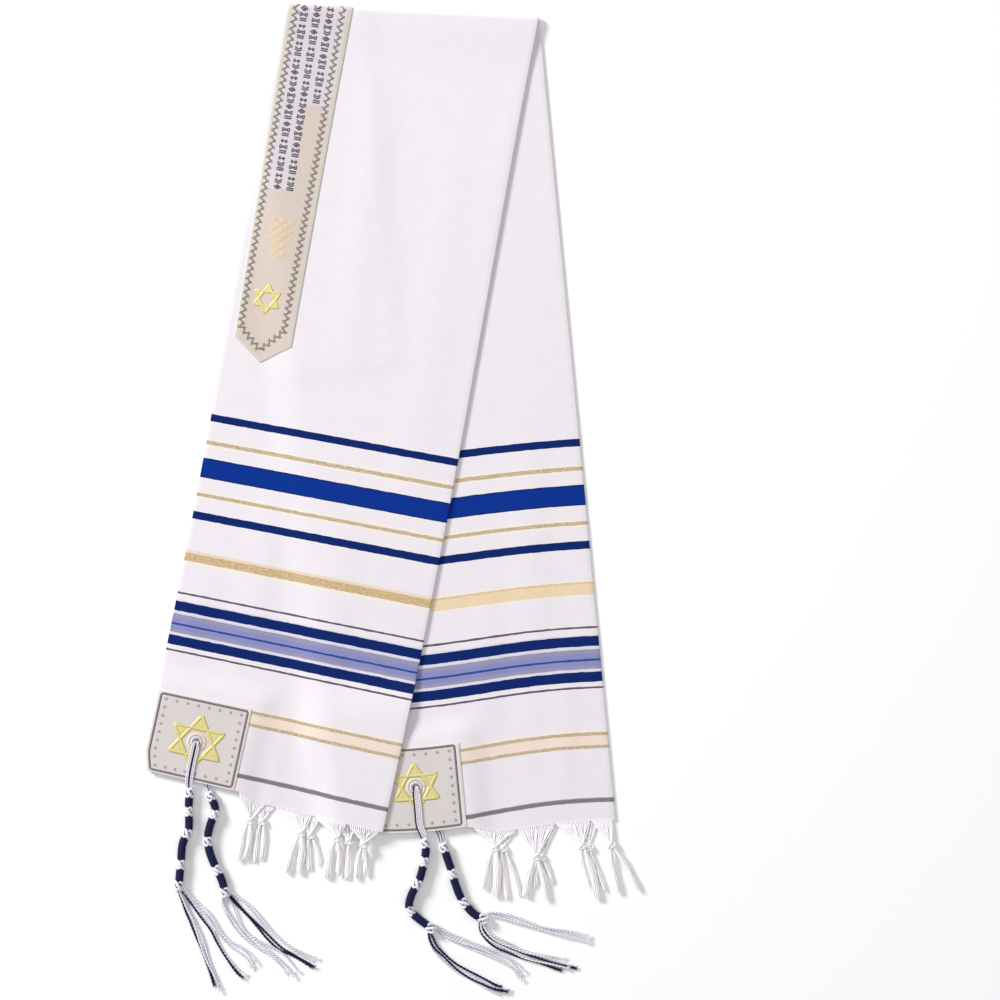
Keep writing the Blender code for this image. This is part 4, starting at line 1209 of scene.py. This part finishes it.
# Each tassel, as (right, down) of FOLD_CORNER: its shaft's route, the distance of each knot along
# it, and its locks: how many strands each has, which are navy, and where they run.
TASSELS = {
    "front_top": {
        "shaft": [(-109.8, 876.0), (-111.2, 897.0), (-111.2, 921.8), (-118.0, 938.0),
                  (-119.8, 956.5), (-122.3, 985.2)],
        "knots": (0.0, 21.0, 46.0, 82.0, 110.0),
        "locks": [("www", [(-103.5, 1005.5), (-90.0, 1018.5), (-79.5, 1034.5), (-66.5, 1048.5),
                           (-53.0, 1056.5), (-42.5, 1066.5), (-37.0, 1078.0)]),
                  ("wn", [(-99.5, 1015.5), (-86.0, 1033.0), (-78.5, 1049.5), (-69.5, 1065.0),
                          (-58.0, 1079.5), (-45.5, 1090.0)]),
                  ("wwn", [(-114.2, 1010.0), (-106.4, 1026.0), (-99.0, 1046.0), (-91.0, 1068.5),
                           (-83.5, 1085.5), (-77.0, 1103.0)])],
    },
    "front_under": {
        "shaft": [(-89.0, 880.5), (-81.2, 899.5), (-86.4, 915.0), (-89.8, 930.3), (-88.0, 946.4),
                  (-82.1, 962.1), (-74.4, 978.3), (-70.5, 992.5)],
        "knots": (0.0, 21.5, 53.0, 87.0, 116.0),
        "locks": [("ww", [(-58.0, 997.5), (-42.0, 1010.5), (-21.5, 1033.5), (-2.0, 1051.0),
                          (14.0, 1061.0), (33.0, 1069.5)]),
                  ("nn", [(-62.0, 1001.0), (-49.5, 1014.5), (-36.0, 1029.0), (-21.5, 1044.5),
                          (-8.0, 1056.0), (5.0, 1062.5), (28.0, 1077.0)]),
                  ("w", [(-62.7, 1007.0), (-55.0, 1025.0), (-44.5, 1038.0), (-29.1, 1049.0),
                         (-13.4, 1057.5), (-2.2, 1066.0), (12.3, 1081.9)]),
                  ("www", [(-72.8, 1004.6), (-67.5, 1017.0), (-54.0, 1035.5), (-36.5, 1051.5),
                           (-20.0, 1062.0), (-5.5, 1074.0), (6.0, 1087.0)])],
    },
    "back_top": {
        "shaft": [(152.3, 932.6), (154.4, 943.0), (153.4, 953.7), (150.9, 965.5), (146.7, 979.3),
                  (138.2, 995.7), (135.5, 1010.2), (143.0, 1019.5), (160.0, 1032.5)],
        "knots": (0.0, 21.0, 47.5, 80.0, 110.0),
        "locks": [("wwww", [(166.5, 1033.0), (179.5, 1041.5), (193.5, 1048.0), (210.5, 1054.0),
                            (227.5, 1060.0), (243.0, 1068.5), (254.5, 1077.5), (264.0, 1090.0)]),
                  ("nwnw", [(159.5, 1044.0), (164.5, 1055.0), (174.0, 1064.5), (188.0, 1076.5),
                            (204.5, 1087.0), (220.6, 1095.5), (233.0, 1101.0),
                            (248.0, 1103.5)])],
    },
    "back_under": {
        "shaft": [(173.4, 937.5), (177.6, 952.0), (182.8, 967.3), (187.8, 984.5), (194.8, 1000.8),
                  (207.5, 1016.2), (218.7, 1022.2)],
        "knots": (0.0, 31.0, 66.0, 99.0),
        "locks": [("www", [(227.0, 1017.5), (243.0, 1019.5), (260.0, 1025.0), (282.5, 1032.5),
                           (304.5, 1037.0), (321.5, 1040.5), (340.0, 1046.5)]),
                  ("wwnwn", [(218.5, 1033.0), (225.0, 1043.0), (235.0, 1050.0), (249.0, 1055.5),
                             (266.0, 1063.0), (288.0, 1069.0), (305.0, 1073.5),
                             (320.0, 1077.0)])],
    },
}


def catmull_rom(points, per_span=8):
    """A smooth line through points."""
    line = []
    ends = [points[0] * 2 - points[1]] + list(points) + [points[-1] * 2 - points[-2]]
    for a, b, c, d in zip(ends, ends[1:], ends[2:], ends[3:]):
        for index in range(per_span):
            t = index / per_span
            line.append(0.5 * (2 * b + (c - a) * t + (2 * a - 5 * b + 4 * c - d) * t ** 2
                               + (3 * b - a - 3 * c + d) * t ** 3))
    line.append(points[-1].copy())
    return line


def evenly(line, step):
    """A line's points, evenly spaced by about a step."""
    total = [0.0]
    for start, end in zip(line, line[1:]):
        total.append(total[-1] + (end - start).length)
    count = max(2, round(total[-1] / step))
    even = []
    span = 0
    for index in range(count + 1):
        distance = total[-1] * index / count
        while span < len(line) - 2 and total[span + 1] < distance:
            span += 1
        part = (distance - total[span]) / max(total[span + 1] - total[span], 1e-9)
        even.append(line[span].lerp(line[span + 1], min(part, 1.0)))
    return even


# A line nearer to upright than this takes its way aside along x.
NEARLY_UPRIGHT = 0.05


def ways_along(line):
    """The direction along a line at each of its points, with the two ways square to it."""
    found = []
    for index in range(len(line)):
        ahead = (line[min(index + 1, len(line) - 1)] - line[max(index - 1, 0)]).normalized()
        aside = ahead.cross((0, 0, 1))
        if aside.length < NEARLY_UPRIGHT:
            aside = Vector((1, 0, 0))
        aside.normalize()
        found.append((ahead, aside, aside.cross(ahead)))
    return found


# The least that any cord's side lies above the table.
CORD_CLEAR = 0.05


def add_cord(curve, line, radius, finish, taper=None):
    """A round cord of a curve object, through points in millimetres, and none of it below the
    table. Its radius is multiplied by taper(part) along it."""
    spline = curve.splines.new('POLY')
    spline.points.add(len(line) - 1)
    spline.material_index = finish
    spline.use_smooth = True
    for index, (target, point) in enumerate(zip(spline.points, line)):
        target.radius = radius * (taper(index / (len(line) - 1)) if taper else 1.0)
        raised = Vector((point.x, point.y, max(point.z, target.radius + CORD_CLEAR)))
        target.co = (*to_metres(raised), 1.0)


def add_twisted(curve, line, ply, twist, finish, turn, taper=None, spread=0.93):
    """A cord of two plies laid round each other, one turn in each twist of its length."""
    reach = 0.0
    strands = [[], []]
    for index, (point, (_, aside, above)) in enumerate(zip(line, ways_along(line))):
        if index:
            reach += (point - line[index - 1]).length
        out = ply * spread * (taper(index / (len(line) - 1)) if taper else 1.0)
        for number, strand in enumerate(strands):
            angle = turn + 2 * pi * (reach / twist + number / len(strands))
            strand.append(point + (aside * cos(angle) + above * sin(angle)) * out)
    for strand in strands:
        add_cord(curve, strand, ply, finish, taper)


def tip_taper(change, start):
    """A taper that changes a cord's thickness by a share, from a part of its length on."""
    return lambda part: 1.0 + change * smooth((part - start) / (1 - start))


def new_cords(name, *finishes):
    """A curve object whose points' radii are in millimetres. So many thin cords need few sides."""
    curve = bpy.data.curves.new(name, 'CURVE')
    curve.dimensions = '3D'
    curve.bevel_depth = MM
    curve.bevel_resolution = 1
    curve.use_fill_caps = True
    return add_object(name, curve, *finishes), curve


def on_table(route_point, height):
    """A place on the table, from (right, down) of FOLD_CORNER."""
    right, down = route_point
    return Vector((FOLD_CORNER[0] + right, FOLD_CORNER[1] - down, height))


def add_knot(curve, centre, ways, finish, radius, cord, length, flat, wraps=2, bights=3):
    """A knot: one closed cord that goes over and under itself as it wraps round the shaft."""
    ahead, aside, above = ways
    line = []
    steps = KNOT_STEPS * wraps
    for index in range(steps + 1):
        angle = 2 * pi * wraps * index / steps
        swing = angle * bights / wraps
        out = radius * (1 + KNOT_SWELL * cos(swing))
        line.append(centre + ahead * length / 2 * sin(swing) + aside * out * cos(angle)
                    + above * out * flat * sin(angle))
    add_cord(curve, line, cord, finish)


def string_path(line, offset, gap):
    """The path of a string that runs beside its set's middle line, by an offset in gaps."""
    path = []
    for number, (point, (_, aside, above)) in enumerate(zip(line, ways_along(line))):
        part = number / (len(line) - 1)
        drawn = DRAWN_IN * smooth((part - DRAWN_FROM) / (1 - DRAWN_FROM))
        apart = smooth(part / SPREAD_BY) * (1 - drawn)
        path.append(point + aside * offset * gap * (BUNCHED + (1 - BUNCHED) * apart)
                    + above * BUNCH_RISE * abs(offset) * (1 - apart))
    return path


def strand_path(centre, number, offset, rank):
    """A free strand's path and the ways at its tip, from its lock's middle line, its number, its
    offset in the lock, and its rank among all the strands at the knot."""
    line = evenly(centre, STRAND_STEP)
    shorter = OUTER_SHORTER * abs(offset) + NEXT_SHORTER * (number % 3)
    line = line[:round(len(line) * (1 - shorter))]
    ways = ways_along(line)
    path = []
    for spot, (point, (_, aside, _)) in enumerate(zip(line, ways)):
        part = spot / (len(line) - 1)
        loose = smooth(part / LOOSE_BY)
        sway = STRAND_SWAY * sin(SWAY_WAVES * part + SWAY_SHIFT * number) * smooth(part / SWAY_BY)
        out = offset * (STRAND_GAP + STRAND_SPLAY * part) * loose + sway
        out += rank * STRAND_CROWDED * (1 - loose)
        rise = STRAND_RISE * sin(RISE_WAVES * part + number) * loose + STRAND_OVER * (number % 2)
        path.append(point + aside * out + Vector((0, 0, rise)))
    return path, ways[-1]


def add_frayed_tip(curve, tip, ways, number, finish):
    """A few fibres that run on past a strand's tip and spread, long and short by turns."""
    ahead, aside, above = ways
    start = tip - ahead * FRAYED["back"]
    for fibre in range(FRAYED["count"]):
        lean = (fibre - FRAYED["count"] // 2) * FRAYED["spread"]
        reach = FRAYED["shortest"] + FRAYED["longer"] * ((fibre * 3 + number) % 4) / 3
        lift = FRAYED["rise"] * sin(fibre * 2.0)
        hair = [start + ahead * reach * part + aside * lean * part ** FRAYED["bend"]
                + above * lift * part for part in (0, 0.3, 0.6, 1.0)]
        add_cord(curve, hair, FRAYED["radius"], finish, lambda part: 1.0 - FRAYED["thinner"] * part)


# Cotton cord of two plies: matt, in a lilac white, and in a navy so dark that only its turns
# show. Both have painted shade in their hollows.
CORD_FINISHES = "wn"
white_cord = yarn_finish("white_cotton_cord", "#f1eef5", "#d8d3e0", 0.85)
navy_cord = yarn_finish("navy_cotton_cord", "#161d4d", "#0b1033", 0.8)
WHITE_CORD, NAVY_CORD = range(2)

for name, (leg, on_band_face) in CORNERS.items():
    tassel = TASSELS[name]
    made, curve = new_cords("tassel_" + name, white_cord, navy_cord)
    upward = 1 if name.endswith("top") else -1
    shaft = [on_table(spot, WOUND_HEIGHT) for spot in tassel["shaft"]]
    shaft = evenly(catmull_rom(shaft), SHAFT_STEP)
    shaft_ways = ways_along(shaft)
    step = (shaft[1] - shaft[0]).length
    head = shaft[round(KNOT_LENGTH / 2 / step)]

    # Strings: one set on the square's face, and one on the cloth's other face.
    across, along = eyelet_place(name)
    end = LEG_SIGN[leg] * (LEG_END[leg] - NOTCH[leg] + STRING_CLEAR)
    hole = Vector(shawl_point(across, along, face_depth(on_band_face, -CLOTH / 2)))
    face_radius = STRING_RADIUS if upward > 0 else FLAT_RADIUS
    sets = [(0.0, upward, STRING_LIFT, face_radius, STRING_YARNS[leg], STRING_GAP),
            (-CLOTH, -upward, INNER_LIFT, FLAT_RADIUS, INNER_YARNS, INNER_GAP)]
    for out, way, lift, radius, yarns, gap in sets:
        up = Vector((0, 0, way))
        depth = face_depth(on_band_face, out)
        laid = [Vector(shawl_point(across, along + (end - along) * part, depth))
                + up * (lift + radius) for part in STRING_PLACES]
        laid[-1].x += (head.x - laid[-1].x) * STRING_LEAN
        route = [hole, laid[0] + up * STRING_RISE] + laid[1:]
        route += [laid[-1].lerp(head, STRING_DROP), head]
        line = evenly(catmull_rom(route, per_span=12), STRING_STEP)
        for index, yarn in enumerate(yarns):
            path = string_path(line, index - (len(yarns) - 1) / 2, gap)
            add_twisted(curve, path, radius * STRING_PLY, STRING_TWIST,
                        CORD_FINISHES.index(yarn), index * STRING_TURN, spread=STRING_SPREAD)

    # The wound shaft: the strings inside, and between the knots the navy cord coiled round them.
    add_cord(curve, shaft[::CORE_EVERY] + shaft[-1:], INNER_CORE_RADIUS, WHITE_CORD)
    knots = tassel["knots"]
    for distance, next_distance in zip(knots, knots[1:]):
        low, high = distance + KNOT_LENGTH - COIL_TUCK, next_distance + COIL_TUCK
        wound = shaft[round(low / step):round(high / step) + 1]
        ways = shaft_ways[round(low / step):round(high / step) + 1]
        add_cord(curve, wound[::CORE_EVERY] + wound[-1:], CORE_RADIUS, NAVY_CORD)
        coil = []
        steps = (high - low) / COIL_PITCH * COIL_STEPS
        for index in range(int(steps) + 1):
            place = index / steps * (len(wound) - 1)
            start = min(int(place), len(wound) - 2)
            point = wound[start].lerp(wound[start + 1], place - start)
            _, aside, above = ways[start]
            angle = 2 * pi * index / COIL_STEPS
            coil.append(point + (aside * cos(angle) + above * sin(angle)) * COIL_RADIUS)
        add_cord(curve, coil, COIL_CORD, NAVY_CORD)
    for number, distance in enumerate(knots):
        index = min(round((distance + KNOT_LENGTH / 2) / step), len(shaft) - 1)
        ahead, aside, above = shaft_ways[index]
        turned = (ahead, aside, above) if number % 2 else (ahead, -above, aside)
        add_knot(curve, shaft[index], turned, NAVY_CORD, **NAVY_KNOT)
        add_knot(curve, shaft[index], (ahead, aside, above), WHITE_CORD, **WHITE_KNOT)

    # Free strands, side by side, fraying into fibres at the tip.
    total = sum(len(yarns) for yarns, _ in tassel["locks"])
    number = 0
    for yarns, route in tassel["locks"]:
        end_point = on_table(tassel["shaft"][-1], WOUND_HEIGHT)
        centre = catmull_rom([end_point] + [on_table(spot, STRAND_HEIGHT) for spot in route])
        for index, yarn in enumerate(yarns):
            rank = number - (total - 1) / 2
            number += 1
            finish = CORD_FINISHES.index(yarn)
            path, tip_ways = strand_path(centre, number, index - (len(yarns) - 1) / 2, rank)
            add_twisted(curve, path, STRAND_PLY, STRAND_TWIST, finish, number * STRAND_TURN,
                        tip_taper(TIP_CHANGE[yarn], TIP_FROM))
            add_frayed_tip(curve, path[-1], tip_ways, number, finish)
    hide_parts("tzitzit_" + name)
    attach(made, "root")


# -------------------------------------------------------------------------------------- fringe
# The cloth's own warp threads, left long past its last weft thread. They are gathered by hand,
# knotted into bundles, and hang on below each knot in a lock or two.

# A thread's radius, and how many of them there are to a millimetre of a lock's width. Each is
# drawn as thick as a few real ones. Then the spacing of its places, and how its tip thins.
FRINGE_THREAD = 0.95
THREADS_PER_MM = 1.6
FRINGE_STEP = 2.0
THREAD_TIP = (-0.3, 0.9)

# How high each layer's fringe lies, how far its knots drop from the cloth, and the least that a
# knot's or a thread's middle lies above that.
FRINGE_LAY = {"under": 0.1, "top": 2.6}
KNOT_DROP = {"under": 4.0, "top": 1.5}
KNOT_REST = 1.75
THREAD_REST = 0.9

# A thread's way from the cloth into its knot: rooted in the cloth's edge, slack half way, then in
# a flat ring at the knot's mouth and a smaller one inside, sizes as (sideways, up).
ROOT_IN = -1.2
ROOT_OUT = 2.0
SLACK_SWAY = 0.8
SLACK_SAG = 0.5
SLACK_SHIFT = (2.4, 1.7)
MOUTH = (1.8, 0.8)
INSIDE = (1.4, 0.6)
KNOT_HALF = 3.0
OUTER_KNOT = {"radius": 3.5, "cord": 1.35, "length": 5.6, "flat": 0.6}
INNER_KNOT = {"radius": 2.8, "cord": 1.25, "length": 4.8, "flat": 0.7}
INNER_KNOT_LOWER = 0.6

# A lock below its knot: how far apart two locks leave it and how far they bow out, the waist that
# its threads open from, how they sway, and how far every other one lies over its neighbours.
LOCK_GAP = 4.2
LOCK_BELLY = (0.4, 2.6)
LOCK_WAIST = 0.3
LOCK_OPEN_BY = 0.35
THREAD_SWAY = 0.35
THREAD_WAVES = 7.0
THREAD_SHIFT = 1.9
THREAD_SWAY_BY = 0.3
THREAD_OVER = 1.5

# Bundles: roots from and to across the leg, then the knot, and each lock's tip and width. Knots
# and tips are (right, down) of FOLD_CORNER.
FRINGE = {
    "front_top": [
        (113.0, 143.0, (-42.6, 912.8), [(-55.4, 957.6, 5.0), (-48.2, 956.5, 5.0)]),
        (157.0, 197.0, (14.6, 926.2), [(-2.2, 971.0, 6.0), (12.3, 972.2, 6.5)]),
        (203.0, 237.0, (54.9, 931.8), [(42.6, 976.6, 8.0), (56.0, 974.4, 5.0)]),
        (241.0, 274.0, (85.1, 938.6), [(76.2, 977.8, 4.5), (86.2, 974.4, 4.5)]),
    ],
    "front_under": [
        (124.0, 154.0, (-29.1, 913.9), [(-37.5, 959.8, 5.0), (-29.7, 957.6, 5.0)]),
        (174.0, 207.0, (24.6, 929.6), [(24.1, 968.8, 7.0), (37.0, 964.3, 4.5)]),
        (215.0, 250.0, (68.3, 935.2), [(66.6, 978.9, 7.0)]),
    ],
    "back_top": [
        (121.0, 165.0, (231.8, 943.0), [(218.4, 989.0, 5.0), (233.0, 997.9, 8.0)]),
        (169.0, 210.0, (277.8, 953.1), [(265.4, 997.9, 7.0), (290.1, 1001.3, 5.5)]),
        (213.0, 250.0, (329.3, 940.8), [(338.2, 986.7, 5.0), (347.2, 1000.2, 7.5)]),
        (253.0, 275.0, (361.8, 939.7), [(370.7, 993.4, 5.0), (393.1, 990.1, 4.5)]),
    ],
    "back_under": [
        (128.0, 165.0, (240.8, 944.2), [(246.4, 1001.3, 6.0), (260.4, 997.9, 4.5)]),
        (176.0, 213.0, (283.4, 954.2), [(276.6, 987.8, 5.0), (296.8, 983.4, 4.0)]),
        (222.0, 260.0, (337.1, 943.0), [(356.2, 992.3, 4.5)]),
    ],
}


def into_knot(root, outside, knot, ways, turn, order):
    """A thread's places from the cloth's end to the middle of its knot."""
    ahead, aside, upright = ways
    enter = (knot - ahead * KNOT_HALF - aside * MOUTH[0] * cos(turn / 2)
             + upright * MOUTH[1] * sin(turn))
    slack = outside.lerp(enter, 0.5) + aside * SLACK_SWAY * sin(order * SLACK_SHIFT[0])
    slack.z -= SLACK_SAG * (1 + sin(order * SLACK_SHIFT[1]))
    inside = knot - aside * INSIDE[0] * cos(turn) + upright * INSIDE[1] * sin(turn)
    return [root, outside, slack, enter, inside]


def down_lock(centre, place, width, order):
    """A thread's places below its knot. Its place in the lock runs from -1 to 1. Threads end at
    three lengths by turns, and every other one lies over its neighbours."""
    ways = ways_along(centre)
    spots = []
    for index in range(1, len(centre) - order * 5 % 3):
        gone = index / (len(centre) - 1)
        _, left, above = ways[index]
        out = place * width / 2 * (LOCK_WAIST + (1 - LOCK_WAIST) * smooth(gone / LOCK_OPEN_BY))
        out += (THREAD_SWAY * sin(THREAD_WAVES * gone + THREAD_SHIFT * order)
                * smooth(gone / THREAD_SWAY_BY))
        rise = THREAD_OVER * (order % 2) * (1 - abs(place)) ** 0.5
        spots.append(centre[index] - left * out + above * rise)
    return spots


# Bleached cotton: the whitest and most matt of the shawl's yarns, with painted shade in its
# hollows.
fringe_cotton = yarn_finish("white_cotton_thread", "#fbf8fb", "#eeeaf0", 0.9)

for name, bundles in FRINGE.items():
    leg, on_band_face = CORNERS[name]
    layer = name.split("_")[1]
    lay = FRINGE_LAY[layer]
    middle = CLOTH / 2 if on_band_face else STACK - CLOTH / 2
    made, curve = new_cords("knotted_fringe_" + name, fringe_cotton)

    def root_place(across, out):
        """A place past the cloth's end, level with the middle of this layer."""
        along = LEG_SIGN[leg] * (fringed_end(leg, across) + out)
        return Vector(shawl_point(across, along, middle))

    for root_from, root_to, knot_spot, locks in bundles:
        level = root_place((root_from + root_to) / 2, 0.0).z - KNOT_DROP[layer]
        knot = on_table(knot_spot, max(lay + KNOT_REST, level))
        falls = [on_table(lock[:2], knot.z) for lock in locks]
        ahead = (sum(falls, Vector()) / len(falls) - knot).normalized()
        aside = -ahead.cross((0, 0, 1))
        upright = Vector((0, 0, 1))
        counts = [round(width * THREADS_PER_MM) for _, _, width in locks]
        order = 0
        for lock, (tip_right, tip_down, width) in enumerate(locks):
            side = lock - (len(locks) - 1) / 2
            tip = on_table((tip_right, tip_down), lay + THREAD_REST)
            start = knot + ahead * KNOT_HALF + aside * side * LOCK_GAP
            belly = start.lerp(tip, LOCK_BELLY[0]) + aside * side * LOCK_BELLY[1]
            belly.z = lay + THREAD_REST
            centre = evenly(catmull_rom([start, belly, tip]), FRINGE_STEP)
            for thread in range(counts[lock]):
                at = root_from + (root_to - root_from) * (order + 0.5) / sum(counts)
                spots = into_knot(root_place(at, ROOT_IN), root_place(at, ROOT_OUT), knot,
                                  (ahead, aside, upright), 2 * pi * order / sum(counts), order)
                path = evenly(catmull_rom(spots + [start]), FRINGE_STEP)
                path += down_lock(centre, 2 * (thread + 0.5) / counts[lock] - 1, width, order)
                add_cord(curve, path, FRINGE_THREAD, 0, tip_taper(*THREAD_TIP))
                order += 1
        add_knot(curve, knot, (ahead, aside, upright), 0, **OUTER_KNOT)
        add_knot(curve, knot + ahead * INNER_KNOT_LOWER, (ahead, -aside, upright), 0, **INNER_KNOT)
    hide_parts("fringe_" + name)
    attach(made, "root")
